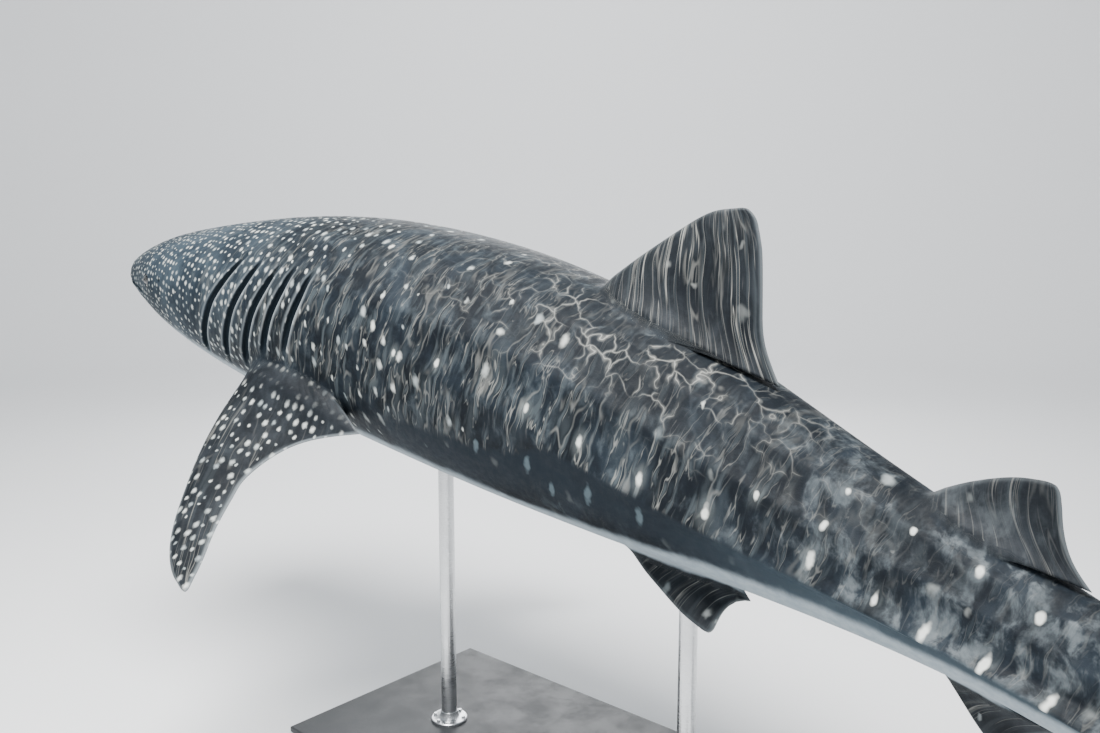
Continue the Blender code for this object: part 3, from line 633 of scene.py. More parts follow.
SPOT_STATIONS = (0.0, 0.05, 0.10, 0.16, 0.22, 0.28, 0.36, 0.45, 0.60, 0.75, 0.90)
SPOT_SPACING = (0.022, 0.026, 0.033, 0.042, 0.056, 0.082, 0.115, 0.140, 0.165, 0.165, 0.150)
PALE_STATIONS = (0.0, 0.05, 0.12, 0.25, 0.42, 0.52, 0.58, 0.70, 0.88)
PALE_ANGLES = (108, 108, 112, 120, 122, 116, 108, 104, 98)
# The angle at each station where the painted shade below the keel begins
SHADE_STATIONS = (0.20, 0.30, 0.40, 0.432, 0.447, 0.46, 0.55, 0.65, 0.75, 0.80, 0.885)
SHADE_ANGLES = (118.0, 110.0, 104.0, 98.0, 91.0, 90.0, 96.0, 99.0, 96.0, 92.0, 90.0)
SPOT_SIZE = (0.31, 0.31, 0.30, 0.29, 0.265, 0.205, 0.175, 0.155, 0.145, 0.145, 0.15)
FIN_SPOT_SPACING = {"pectoral": 0.047, "dorsal": 0.170, "second": 0.150, "belly": 0.100, "tail": 0.130}
FIN_SPOT_SIZE = {"pectoral": 0.275, "dorsal": 0.14, "second": 0.14, "belly": 0.17, "tail": 0.17}
PECTORAL_SWEEP = 0.36
FIN_OFFSETS = {"pectoral": 40.0, "dorsal": 80.0, "second": 100.0, "belly": 120.0, "tail": 160.0}

spot_spacing = smooth_curve(SPOT_STATIONS, SPOT_SPACING)
TABLE_STATIONS = NOSE + (1.0 - NOSE) * np.linspace(0.0, 1.0, 402) ** 2
TABLE_ANGLES = np.arange(0.0, 181.0, 2.0)


def girth_table():
    """Distance over the skin from the middle of the back, by station and angle."""
    station = np.minimum(TABLE_STATIONS, BODY_END)[:, None] + 0 * TABLE_ANGLES
    left, up = section(station, TABLE_ANGLES + 0 * station)
    steps = np.hypot(np.diff(left), np.diff(up)) * LENGTH
    return np.hstack((np.zeros((len(station), 1)), np.cumsum(steps, 1)))


GIRTH = girth_table()
STEPS = np.hypot(np.gradient(TABLE_STATIONS), np.gradient(width_of(along(TABLE_STATIONS)))) * LENGTH
STRIDE = np.cumsum(STEPS / spot_spacing(TABLE_STATIONS))


def girth_place(station, angle):
    """Signed distance round the body from the middle of the back, in metres."""
    row = np.interp(station, TABLE_STATIONS, np.arange(len(TABLE_STATIONS)))
    low = np.minimum(row.astype(int), len(TABLE_STATIONS) - 2)
    column = np.minimum(np.abs(angle) / 2, len(TABLE_ANGLES) - 1.0001)
    left = column.astype(int)
    down, right = row - low, column - left
    upper = GIRTH[low, left] * (1 - right) + GIRTH[low, left + 1] * right
    lower = GIRTH[low + 1, left] * (1 - right) + GIRTH[low + 1, left + 1] * right
    return np.sign(angle) * (upper * (1 - down) + lower * down)


def vectors(*columns):
    return np.stack(np.broadcast_arrays(*columns), -1)


def body_markings(station, angle, depth, rim):
    """The skin's own coordinates, and its tones with painted shade and highlight, at places on the body."""
    girth = girth_place(station, angle)
    a = np.abs(angle)
    pale_from = np.interp(station, PALE_STATIONS, PALE_ANGLES)
    pale = eased(between(pale_from, pale_from + 26, a))
    head = 1 - eased(between(0.09, 0.215, station))
    # shade: painted shade in a band just below the keel's crest, fading further down, from a third of the length back
    crest = np.interp(station, SHADE_STATIONS, SHADE_ANGLES)
    shade = between(crest - 0.5, crest + 1.5, a) * (1 - eased(between(crest + 16, crest + 34, a)))
    shade = shade * between(0.24, 0.36, station)
    rear = eased(between(0.52, 0.66, station))
    flank = bump_at(a, 92.0, 40.0)
    spots = 1.0 - 0.35 * bump_at(a, 0.0, 25.0) * between(0.25, 0.35, station)
    # Below the keel the spots and streaks mostly give way to the painted shade there
    below = between(crest - 0.5, crest + 2.5, a) * between(0.24, 0.36, station)
    spots = spots * (1 - 0.9 * below) * (1 - 0.95 * pale)
    spots = spots * (1 - between(0.38, 0.44, station) * bump_at(a, 76.0, 26.0))
    # Streaks lie mostly on the flanks behind the head: partly the skin's own markings, partly painted caustic light
    streaks = between(0.08, 0.22, station) * (0.55 + 0.45 * flank) * (1 - 0.75 * between(0.52, 0.66, station))
    streaks = np.maximum(streaks, 0.5 * flank * (1 - between(0.02, 0.09, station))) * (1 - 0.92 * below)
    # Net on the back round the first dorsal: partly the skin's own pattern, partly painted caustic light from above
    back = eased(between(75.0, 40.0, a))
    net = back * bump_at(station, 0.475, 0.115)
    streaks = streaks * (1 - 0.65 * net)
    # In slits and holes the spots and streaks give way to the painted shade there
    spots = spots * (1 - between(0.1, 0.5, depth))
    streaks = streaks * (1 - between(0.1, 0.5, depth))
    return {"metres": vectors(station * LENGTH, girth, 0 * girth),
            "lattice": vectors(np.interp(station, TABLE_STATIONS, STRIDE), girth / spot_spacing(station),
                               np.interp(station, SPOT_STATIONS, SPOT_SIZE)),
            "tone": vectors(pale, depth, rim),
            "cover": vectors(spots, streaks, net),
            "ground": vectors(head, rear, shade)}


def fin_markings(kind, share, side, chord_place, reach, chord):
    """The same for places on a fin."""
    spacing = FIN_SPOT_SPACING[kind]
    width = (1 - share) * chord
    behind = eased(between(0.022, 0.004, width))
    front = eased(between(0.022, 0.006, share * chord))
    under = between(0.2, -0.2, side) if kind in ("pectoral", "belly") else 0 * side
    out = np.abs(reach)
    rooted = eased(between(0.0, 0.10, out if kind != "pectoral" else out - 0.06))
    spots = {"pectoral": 1.0, "dorsal": 0.22, "second": 0.15, "belly": 0.5, "tail": 0.8}[kind] * rooted
    streaks = {"pectoral": 0.45, "dorsal": 1.0, "second": 0.28, "belly": 0.5, "tail": 0.5}[kind] + 0 * share
    if kind == "pectoral":
        streaks = streaks * between(0.10, 0.40, reach)
    rim = np.maximum({"pectoral": 0.55, "dorsal": 0.35, "second": 0.30, "belly": 0.2, "tail": 0.3}[kind] * behind,
                     {"pectoral": 0.30, "dorsal": 0.10, "second": 0.08, "belly": 0.1, "tail": 0.12}[kind] * front)
    offset = FIN_OFFSETS[kind]
    from_edge = offset - width * 1.6 if kind != "pectoral" else offset + chord_place - PECTORAL_SWEEP * reach ** 2
    return {"metres": vectors(from_edge, reach, 1.0 + 0 * share),
            "lattice": vectors(chord_place / spacing + offset, reach / spacing + offset,
                               FIN_SPOT_SIZE[kind] + 0 * share),
            "tone": vectors(0.85 * under, 0 * share, rim),
            "cover": vectors(spots, streaks, 0 * share),
            "ground": vectors(0 * share, (kind == "second") + 0 * share, 0 * share)}


def to_object(bm, name, layers, markings):
    """A mesh object whose marking places are attributes of its vertices."""
    values = layer_values(bm, layers)
    mesh = bpy.data.meshes.new(name)
    bm.to_mesh(mesh)
    bm.free()
    for attribute in [a.name for a in mesh.attributes if a.domain == "POINT" and a.data_type == "FLOAT"]:
        mesh.attributes.remove(mesh.attributes[attribute])
    for attribute, vectors_here in markings(*values).items():
        made = mesh.attributes.new(attribute, "FLOAT_VECTOR", "POINT")
        made.data.foreach_set("vector", np.ascontiguousarray(vectors_here, dtype=np.float32).ravel())
    known = mesh.attributes.new("known", "FLOAT", "POINT")
    known.data.foreach_set("value", np.ones(len(mesh.vertices), dtype=np.float32))
    made = bpy.data.objects.new(name, mesh)
    bpy.context.scene.collection.objects.link(made)
    return made


def fin_object(fin, name):
    bm = fin_mesh(fin)
    layers = [bm.verts.layers.float[n] for n in ("chord_share", "fin_side", "chord_place", "fin_reach", "thin_edge")]
    return to_object(bm, name, layers, lambda *v: fin_markings(fin.markings, *v))


def barbel_object(side):
    """Short blunt feeler in front of a nostril."""
    here, outward, tailward, _ = skin_frame(NOSTRIL_STATION, NOSTRIL_ANGLE * side)
    way = Vector(outward * 0.7 - tailward * 0.7).normalized()
    bm = bmesh.new()
    layer = bm.verts.layers.float.new("plain")
    bmesh.ops.create_uvsphere(bm, u_segments=20, v_segments=14, radius=1.0)
    for vert in bm.verts:
        t = (vert.co.z + 1) / 2
        width = 0.013 - 0.006 * t
        vert.co = Vector((vert.co.x * width, vert.co.y * width - 0.004 * t * t, vert.co.z * BARBEL_LENGTH * 0.62))
    turn = Vector((0, 0, 1)).rotation_difference(way).to_matrix()
    bmesh.ops.rotate(bm, verts=bm.verts, matrix=turn)
    bmesh.ops.translate(bm, verts=bm.verts, vec=Vector(here) + way * BARBEL_LENGTH * 0.2)

    def markings(plain):
        found = body_markings(plain + NOSTRIL_STATION, plain + NOSTRIL_ANGLE * side, plain, plain)
        found["cover"] *= 0
        return found

    return to_object(bm, "barbel", [layer], markings)


def unite(item, tool):
    """Join a closed mesh to the skin and drop its object."""
    join = item.modifiers.new("join", "BOOLEAN")
    join.operation = "UNION"
    join.solver = "MANIFOLD"
    join.object = tool
    graph = bpy.context.evaluated_depsgraph_get()
    result = bpy.data.meshes.new_from_object(item.evaluated_get(graph))
    item.modifiers.clear()
    item.data = result
    bpy.data.objects.remove(tool, do_unlink=True)


MARKING_NAMES = ("metres", "lattice", "tone", "cover", "ground")
ROOT_REACH = 0.075
ROOT_EDGE = 0.012
ROOT_ROUNDS = 4
FILLET_PASSES = 16
FADE_REACH = 0.032
FADED = 0.03
FLAT_EDGE = 0.5
TONE_PASSES = 7


class Markings:
    """The marking places of one closed mesh, to be read at any point near it."""

    def __init__(self, item):
        bm = bmesh.new()
        bm.from_mesh(item.data)
        bmesh.ops.triangulate(bm, faces=bm.faces)
        layers = [bm.verts.layers.float_vector[name] for name in MARKING_NAMES]
        self.places = [v.co.copy() for v in bm.verts]
        self.values = [[v[layer].copy() for layer in layers] for v in bm.verts]
        self.faces = [[v.index for v in f.verts] for f in bm.faces]
        self.tree = BVHTree.FromPolygons(self.places, self.faces)
        bm.free()

    def read(self, face, place):
        """Values at a place on one triangle."""
        corners = self.faces[face]
        weights = poly_3d_calc([self.places[i] for i in corners], place)
        per_corner = [self.values[i] for i in corners]
        return [sum((value * weight for value, weight in zip(column, weights)), Vector())
                for column in zip(*per_corner)]


def seam_distances(bm, places):
    """Distance of every vertex from the creases where fins meet the body."""
    tree = KDTree(len(places))
    for number, place in enumerate(places):
        tree.insert(place, number)
    tree.balance()
    bm.verts.index_update()
    return np.array([tree.find(v.co)[2] for v in bm.verts])


def relax(bm, verts):
    bmesh.ops.smooth_vert(bm, verts=verts, factor=0.5, use_axis_x=True, use_axis_y=True, use_axis_z=True)


def edges_within(bm, places, reach):
    away = seam_distances(bm, places)
    return [e for e in bm.edges if max(away[v.index] for v in e.verts) < reach]


def apart(edges):
    """Edges, shortest first, that share no neighbour with one already taken."""
    taken = set()
    chosen = []
    for edge in sorted(edges, key=lambda e: e.calc_length()):
        if taken.isdisjoint(edge.verts):
            chosen.append(edge)
            for vert in edge.verts:
                taken.update(e.other_vert(vert) for e in vert.link_edges)
                taken.add(vert)
    return chosen


def even_out(bm, places, reach):
    """Gives the skin near a crease triangles of much the same size."""
    long_edges = [e for e in edges_within(bm, places, reach) if e.calc_length() > 1.4 * ROOT_EDGE]
    bmesh.ops.subdivide_edges(bm, edges=long_edges, cuts=1, use_grid_fill=True)
    for _ in range(2):
        short_edges = [e for e in edges_within(bm, places, reach) if e.calc_length() < 0.5 * ROOT_EDGE]
        bmesh.ops.collapse(bm, edges=apart(short_edges), uvs=False)
    inside = {v for e in edges_within(bm, places, reach) for v in e.verts}
    faces = [f for f in bm.faces if inside.issuperset(f.verts)]
    cut = bmesh.ops.triangulate(bm, faces=faces)
    edges = {e for f in cut["faces"] for e in f.edges}
    flat = [e for e in edges if len(e.link_faces) == 2 and e.calc_face_angle() < FLAT_EDGE]
    bmesh.ops.beautify_fill(bm, faces=cut["faces"], edges=flat)
    relax(bm, [v for v in inside if v.is_valid])


def spread_tones(verts, layers, passes):
    """Averages the layers of the vertices with their neighbours."""
    around = [[e.other_vert(v) for e in v.link_edges] for v in verts]
    for _ in range(passes):
        means = [[sum((v[layer] for v in near), Vector((0.0, 0.0, 0.0))) / len(near) for layer in layers]
                 for near in around]
        for vert, mean in zip(verts, means):
            for layer, value in zip(layers, mean):
                vert[layer] = value


def soften_roots(item, sources):
    """Rounds the creases where fins meet the body and quiets the markings there."""
    bm = bmesh.new()
    bm.from_mesh(item.data)
    known = bm.verts.layers.float["known"]
    places = [v.co.copy() for v in bm.verts if v[known] < 0.999]
    for step in range(ROOT_ROUNDS):
        even_out(bm, places, ROOT_REACH * (1 - 0.1 * step))
    away = seam_distances(bm, places)
    verts = list(bm.verts)
    for step in range(FILLET_PASSES):
        reach = ROOT_REACH * (0.85 - 0.6 * step / FILLET_PASSES)
        relax(bm, [verts[i] for i in np.flatnonzero(away < reach)])
    layers = [bm.verts.layers.float_vector[name] for name in MARKING_NAMES]
    metres, _, tone, cover, ground = layers
    for i in np.flatnonzero(away < 1.3 * ROOT_REACH):
        vert = verts[i]
        found = [(source.tree.find_nearest(vert.co, ROOT_REACH), source) for source in sources]
        found = [(hit, source) for hit, source in found if hit[0]]
        if not found:
            continue
        hit, source = min(found, key=lambda pair: pair[0][3])
        for layer, value in zip(layers, source.read(hit[2], hit[0])):
            vert[layer] = value
    near = np.flatnonzero(away < FADE_REACH)
    spread_tones([verts[i] for i in near], (tone, cover, ground), TONE_PASSES)
    for i in near:
        vert = verts[i]
        kept = FADED + (1 - FADED) * float(eased(away[i] / FADE_REACH))
        vert[cover] = vert[cover] * kept
        vert[tone] = (vert[tone][0], vert[tone][1], vert[tone][2] * kept)
        vert[metres] = (vert[metres][0], vert[metres][1], vert[metres][2] * away[i] / FADE_REACH)
    bm.to_mesh(item.data)
    bm.free()


def whale_shark_skin():
    bm, layers = body_mesh()
    skin = to_object(bm, "whale_shark_skin", [layers[k] for k in (0, 1, 3, 4)], body_markings)
    fins = {"first_dorsal": FIRST_DORSAL, "second_dorsal": SECOND_DORSAL, "anal": ANAL, "tail": CAUDAL}
    for word, side in (("left", 1), ("right", -1)):
        fins["pectoral_" + word] = pectoral(side)
        fins["pelvic_" + word] = pelvic(side)
    tools = [fin_object(fin, name) for name, fin in fins.items()] + [barbel_object(side) for side in (1, -1)]
    sources = [Markings(item) for item in [skin] + tools]
    for tool in tools:
        unite(skin, tool)
    soften_roots(skin, sources)
    skin.data.attributes.remove(skin.data.attributes["known"])
    skin.data.shade_smooth()
    return skin


# Shading

class Tree:
    """Short calls that build a node tree."""

    def __init__(self, tree):
        self.tree = tree

    def add(self, kind, inputs=None, **settings):
        node = self.tree.nodes.new("ShaderNode" + kind)
        for key, value in settings.items():
            setattr(node, key, value)
        for key, value in (inputs or {}).items():
            self.put(node.inputs[key], value)
        return node

    def put(self, socket, value):
        if isinstance(value, bpy.types.NodeSocket):
            self.tree.links.new(value, socket)
        else:
            socket.default_value = value

    def math(self, operation, a, b=0.0):
        return self.add("Math", {0: a, 1: b}, operation=operation).outputs[0]

    def vector(self, operation, a, b=(0.0, 0.0, 0.0)):
        return self.add("VectorMath", {0: a, 1: b}, operation=operation).outputs[0]

    def span(self, value, low, high, to_low=0.0, to_high=1.0):
        """Smooth step of a value from low to high."""
        return self.add("MapRange", {0: value, 1: low, 2: high, 3: to_low, 4: to_high},
                        interpolation_type="SMOOTHSTEP").outputs[0]

    def blend(self, share, a, b):
        """Colour a passing into colour b."""
        return self.add("Mix", {0: share, 6: a, 7: b}, data_type="RGBA").outputs[2]

    def split(self, vector):
        return self.add("SeparateXYZ", {0: vector}).outputs

    def group(self, name, **inputs):
        node = self.add("Group", node_tree=bpy.data.node_groups[name])
        for key, value in inputs.items():
            self.put(node.inputs[key], value)
        return node.outputs


def new_group(name, inputs, outputs):
    """A shader node group, with its input sockets and the node that takes its outputs."""
    tree = bpy.data.node_groups.new(name, "ShaderNodeTree")
    for in_out, sockets in (("INPUT", inputs), ("OUTPUT", outputs)):
        for socket, kind in sockets.items():
            tree.interface.new_socket(socket, in_out=in_out, socket_type="NodeSocket" + kind)
    return Tree(tree), tree.nodes.new("NodeGroupInput").outputs, tree.nodes.new("NodeGroupOutput").inputs


def spots_group():
    """Pale spots on a loose lattice, longer round the body than along it."""
    t, given, out = new_group("skin_spots", {"Place": "Vector", "Size": "Float"}, {"Mask": "Float", "Random": "Float"})
    wobble = t.add("TexNoise", {"Vector": given["Place"], "Scale": 2.6, "Detail": 2.0}, noise_dimensions="2D")
    moved = t.vector("MULTIPLY_ADD", wobble.outputs["Color"], (0.24, 0.30, 0.0))
    t.put(moved.node.inputs[2], given["Place"])
    longer = t.vector("MULTIPLY", moved, (1.0, 0.78, 0.0))
    cells = t.add("TexVoronoi", {"Vector": longer, "Scale": 1.0, "Randomness": 0.58}, voronoi_dimensions="2D")
    random = t.split(cells.outputs["Color"])
    missing = t.span(given["Size"], 0.29, 0.17, 0.06, 0.55)
    there = t.span(t.math("SUBTRACT", random[1], missing), 0.0, 0.08)
    size = t.math("MULTIPLY", t.math("MULTIPLY", given["Size"], t.span(random[0], 0.0, 1.0, 0.55, 1.25)), there)
    mask = t.span(cells.outputs["Distance"], t.math("MULTIPLY", size, 1.12), t.math("MULTIPLY", size, 0.15))
    t.put(out["Mask"], t.math("MULTIPLY", mask, there))
    t.put(out["Random"], random[2])


def streaks_group():
    """Thin wavy pale lines that run round the body and break up, partly the skin's own streaks and partly painted
    caustic light.
    """
    t, given, out = new_group("skin_streaks", {"Place": "Vector", "Spacing": "Float", "Length": "Float",
                                               "Sway": "Float"}, {"Lines": "Float", "Haze": "Float"})
    x, y, _ = t.split(given["Place"])
    waves = t.add("TexNoise", {"Vector": given["Place"], "Scale": 6.0, "Detail": 2.0}, noise_dimensions="2D")
    sway = t.math("MULTIPLY", t.math("SUBTRACT", waves.outputs[0], 0.5), given["Sway"])
    across = t.math("DIVIDE", t.math("ADD", x, sway), given["Spacing"])
    round_it = t.math("DIVIDE", y, t.math("MULTIPLY", given["Spacing"], given["Length"]))
    place = t.add("CombineXYZ", {0: across, 1: round_it}).outputs[0]
    lines = t.add("TexNoise", {"Vector": place, "Scale": 1.0, "Detail": 1.0}, noise_dimensions="2D")
    off = t.math("ABSOLUTE", t.math("SUBTRACT", lines.outputs[0], 0.5))
    broken = t.add("TexNoise", {"Vector": place, "Scale": 0.62, "Detail": 2.0}, noise_dimensions="2D")
    t.put(out["Lines"], t.math("MULTIPLY", t.span(off, 0.058, 0.0), t.span(broken.outputs[0], 0.46, 0.68)))
    t.put(out["Haze"], t.math("MULTIPLY", t.span(lines.outputs[0], 0.48, 0.72), t.span(broken.outputs[0], 0.36, 0.62)))


def net_group():
    """Pale net of thin lines with dark patches between them, partly the skin's own pattern and partly painted caustic
    light.
    """
    t, given, out = new_group("skin_net", {"Place": "Vector", "Scale": "Float"}, {"Lines": "Float", "Patches": "Float"})
    bend = t.add("TexNoise", {"Vector": given["Place"], "Scale": 8.0, "Detail": 2.0}, noise_dimensions="2D")
    moved = t.vector("MULTIPLY_ADD", bend.outputs["Color"], (0.16, 0.16, 0.0))
    t.put(moved.node.inputs[2], given["Place"])
    cells = t.add("TexVoronoi", {"Vector": moved, "Scale": given["Scale"], "Randomness": 1.0},
                  voronoi_dimensions="2D", feature="DISTANCE_TO_EDGE")
    weak = t.add("TexNoise", {"Vector": given["Place"], "Scale": 7.0, "Detail": 2.0}, noise_dimensions="2D")
    core = t.math("MULTIPLY", t.span(cells.outputs["Distance"], 0.034, 0.0), t.span(weak.outputs[0], 0.40, 0.62))
    glow = t.math("MULTIPLY", t.span(cells.outputs["Distance"], 0.15, 0.0), t.span(weak.outputs[0], 0.42, 0.68, 0.03, 0.40))
    t.put(out["Lines"], t.math("MAXIMUM", core, glow))
    t.put(out["Patches"], t.span(cells.outputs["Distance"], 0.02, 0.22))


def oval_group():
    """One spot at a chosen place, the same on both flanks."""
    t, given, out = new_group("single_spot", {"Place": "Vector", "Centre": "Vector", "Reach": "Vector",
                                              "Ragged": "Float"}, {"Mask": "Float", "Glow": "Float"})
    off = t.vector("DIVIDE", t.vector("SUBTRACT", given["Place"], given["Centre"]), given["Reach"])
    away = t.add("VectorMath", {0: off}, operation="LENGTH").outputs["Value"]
    t.put(out["Mask"], t.span(t.math("ADD", away, given["Ragged"]), 1.0, 0.35))
    t.put(out["Glow"], t.span(away, 2.5, 0.8))


# Big pale spots of the flank: station, angle, then half length along and round, in metres
BELOW_KEEL = 97.5
FLANK_SPOTS = ((0.4000, 104, 0.019, 0.042), (0.432, 78, 0.016, 0.028), (0.4400, 102, 0.022, 0.050),
               (0.4725, 81, 0.017, 0.032), (0.4580, 111, 0.018, 0.044), (0.515, 84, 0.017, 0.034),
               (0.4840, 105, 0.023, 0.055), (0.5190, 105, 0.022, 0.055), (0.557, 85, 0.020, 0.036),
               (0.617, 84, 0.019, 0.042), (0.617, 59, 0.015, 0.022), (0.6185, 35, 0.014, 0.018),
               (0.678, 94, 0.018, 0.047), (0.706, 94, 0.018, 0.050), (0.735, 94, 0.018, 0.047),
               (0.765, 92, 0.018, 0.042), (0.654, 36, 0.014, 0.020), (0.687, 36, 0.018, 0.024),
               (0.717, 42, 0.018, 0.026), (0.652, 90, 0.014, 0.032), (0.360, 76, 0.014, 0.026), (0.325, 79, 0.013, 0.024),
               (0.580, 62, 0.015, 0.024))

DARK = (0.0030, 0.0052, 0.0082, 1.0)
MIDDLE = (0.0125, 0.0190, 0.0265, 1.0)
# Pale wisps and blotches: partly the skin's own mottling, partly painted caustic light
WISP_WITH_PAINTED_LIGHT = (0.068, 0.086, 0.098, 1.0)
BLOTCH_WITH_PAINTED_LIGHT = (0.118, 0.136, 0.146, 1.0)
HEAD_DARK = (0.016, 0.026, 0.037, 1.0)
HEAD_GREY = (0.048, 0.068, 0.086, 1.0)
FIN_DARK = (0.0060, 0.0080, 0.0105, 1.0)
FIN_MIDDLE = (0.021, 0.024, 0.028, 1.0)
# Pale streaks and the haze round them: partly the skin's own markings, partly painted caustic light
STREAK_WITH_PAINTED_LIGHT = (0.38, 0.38, 0.35, 1.0)
HAZE_WITH_PAINTED_LIGHT = (0.098, 0.118, 0.127, 1.0)
# Big spots below the keel, dulled as spots in painted shade
SPOT_IN_PAINTED_SHADE = (0.105, 0.145, 0.165, 1.0)
GLOW = (0.170, 0.190, 0.190, 1.0)
# Painted shade below the keel: darker near the gills, a mid tone under the tail stock
UNDER_KEEL_PAINTED_SHADE = (0.0060, 0.0115, 0.0180, 1.0)
UNDER_TAIL_PAINTED_SHADE = (0.042, 0.062, 0.078, 1.0)
SPOT = (0.66, 0.68, 0.64, 1.0)
DIM_SPOT = (0.26, 0.30, 0.31, 1.0)
# Pale belly, its colour dulled to a mid tone as painted shade on the underside
PALE_BELLY_WITH_PAINTED_SHADE = (0.31, 0.36, 0.39, 1.0)
BELLY_SHADE = (0.24, 0.29, 0.325, 1.0)
# The fins' pale edges, and behind each gill slit a painted highlight along the rim
PALE_EDGE_AND_PAINTED_HIGHLIGHT = (0.32, 0.36, 0.38, 1.0)
# Painted shade deep in the gill slits, mouth, nostrils, spiracles and eye sockets
RECESS_PAINTED_SHADE = (0.024, 0.036, 0.047, 1.0)


def skin_material():
    """Dark slate skin with pale spots, wavy streaks and a pale belly, with painted shade below the keel, on the belly
    and in recesses, a painted highlight on the gill rims and painted caustic light in the streaks, wisps, blotches and
    net.
    """
    material = bpy.data.materials.new("whale_shark_skin")
    material.use_nodes = True
    t = Tree(material.node_tree)
    shader = material.node_tree.nodes["Principled BSDF"]
    metres, lattice, tone, cover, ground = (t.add("Attribute", attribute_name=name).outputs["Vector"]
                                            for name in MARKING_NAMES)
    fin = t.split(metres)[2]
    spot_size = t.split(lattice)[2]
    pale, depth, rim = t.split(tone)
    spots_here, streaks_here, net_here = t.split(cover)
    head, rear, shade = t.split(ground)
    objects = t.add("TexCoord").outputs["Object"]

    tall = t.vector("MULTIPLY", objects, (1.0, 1.0, 0.6))
    clouds = t.add("TexNoise", {"Vector": tall, "Scale": 5.5, "Detail": 5.0, "Roughness": 0.64, "Distortion": 0.5},
                   noise_dimensions="3D")
    wisps = t.add("TexNoise", {"Vector": tall, "Scale": 13.0, "Detail": 4.0, "Roughness": 0.62, "Distortion": 0.35},
                  noise_dimensions="3D")
    fine = t.add("TexNoise", {"Vector": objects, "Scale": 34.0, "Detail": 3.0, "Roughness": 0.6}, noise_dimensions="3D")
    cloud = t.span(clouds.outputs[0], 0.40, 0.70)
    base = t.blend(cloud, DARK, MIDDLE)
    # Wisps on the flank and blotches on the tail stock, partly painted caustic light
    wisp = t.math("MULTIPLY", t.span(wisps.outputs[0], 0.52, 0.78), t.span(clouds.outputs[0], 0.40, 0.60, 0.35, 1.0))
    base = t.blend(t.math("MULTIPLY", wisp, 0.70), base, WISP_WITH_PAINTED_LIGHT)
    blotch = t.math("MULTIPLY", t.span(wisps.outputs[0], 0.45, 0.65), t.span(clouds.outputs[0], 0.40, 0.62, 0.15, 1.0))
    base = t.blend(t.math("MULTIPLY", blotch, t.math("MULTIPLY", rear, 0.80)), base, BLOTCH_WITH_PAINTED_LIGHT)
    base = t.blend(t.math("MULTIPLY", fin, 0.7), base, t.blend(cloud, FIN_DARK, FIN_MIDDLE))
    base = t.blend(t.math("MULTIPLY", head, 0.85), base, t.blend(cloud, HEAD_DARK, HEAD_GREY))

    # Dark patches of the net: partly the skin's own pattern, partly painted shade between caustic lines
    net = t.group("skin_net", Place=metres, Scale=10.0)
    base = t.blend(t.math("MULTIPLY", t.math("MULTIPLY", net["Patches"], net_here), 0.85), base, DARK)
    broad = t.group("skin_streaks", Place=metres, Spacing=0.070, Length=3.6, Sway=t.span(fin, 0.0, 1.0, 0.06, 0.03))
    thin = t.group("skin_streaks", Place=metres, Spacing=t.span(fin, 0.0, 1.0, 0.022, 0.026),
                   Length=t.span(fin, 0.0, 1.0, 6.0, 15.0), Sway=t.span(fin, 0.0, 1.0, 0.045, 0.020))
    haze = t.math("MAXIMUM", t.math("MULTIPLY", broad["Haze"], t.span(fin, 0.0, 1.0, 0.35, 0.08)),
                  t.math("MULTIPLY", thin["Haze"], t.span(fin, 0.0, 1.0, 0.80, 0.40)))
    lines = t.math("MAXIMUM", t.math("MULTIPLY", broad["Lines"], t.span(fin, 0.0, 1.0, 0.35, 0.3)),
                   t.math("MULTIPLY", thin["Lines"], t.span(fin, 0.0, 1.0, 0.60, 0.85)))
    # Haze and streaks, partly painted caustic light
    base = t.blend(t.math("MULTIPLY", t.math("MULTIPLY", haze, streaks_here), 0.60), base, HAZE_WITH_PAINTED_LIGHT)
    base = t.blend(t.math("MULTIPLY", t.math("MULTIPLY", lines, streaks_here), 0.75), base, STREAK_WITH_PAINTED_LIGHT)
    # Pale net lines, partly painted caustic light
    base = t.blend(t.math("MULTIPLY", t.math("MULTIPLY", net["Lines"], net_here), 0.70), base, STREAK_WITH_PAINTED_LIGHT)
    # Painted shade below the keel
    base = t.blend(t.math("MULTIPLY", shade, 0.85), base, t.blend(rear, UNDER_KEEL_PAINTED_SHADE, UNDER_TAIL_PAINTED_SHADE))

    edge = t.math("ADD", pale, t.math("MULTIPLY", t.math("SUBTRACT", clouds.outputs[0], 0.5), 0.6))
    pale_share = t.span(edge, 0.25, 0.80)
    # Pale belly, dulled as painted shade
    belly = t.blend(t.span(fine.outputs[0], 0.3, 0.7), BELLY_SHADE, PALE_BELLY_WITH_PAINTED_SHADE)
    base = t.blend(t.math("MULTIPLY", pale_share, 0.96), base, belly)

    spots = t.group("skin_spots", Place=lattice, Size=spot_size)
    amount = t.math("MULTIPLY", spots["Mask"], spots_here)
    base = t.blend(t.math("MULTIPLY", amount, 0.95), base, t.blend(spots["Random"], DIM_SPOT, SPOT))
    big = 0.0
    dim = 0.0
    glow = 0.0
    flank = t.vector("ABSOLUTE", metres)
    edges = t.add("TexNoise", {"Vector": metres, "Scale": 30.0, "Detail": 1.0}, noise_dimensions="2D")
    ragged = t.math("MULTIPLY", t.math("SUBTRACT", edges.outputs[0], 0.5), 0.8)
    for station, angle, half_along, half_round in FLANK_SPOTS:
        centre = (station * LENGTH, float(girth_place(np.array([station]), np.array([angle]))[0]), 0.0)
        one = t.group("single_spot", Place=flank, Centre=centre, 
                      Reach=(half_along, half_round, 0.5), Ragged=ragged)
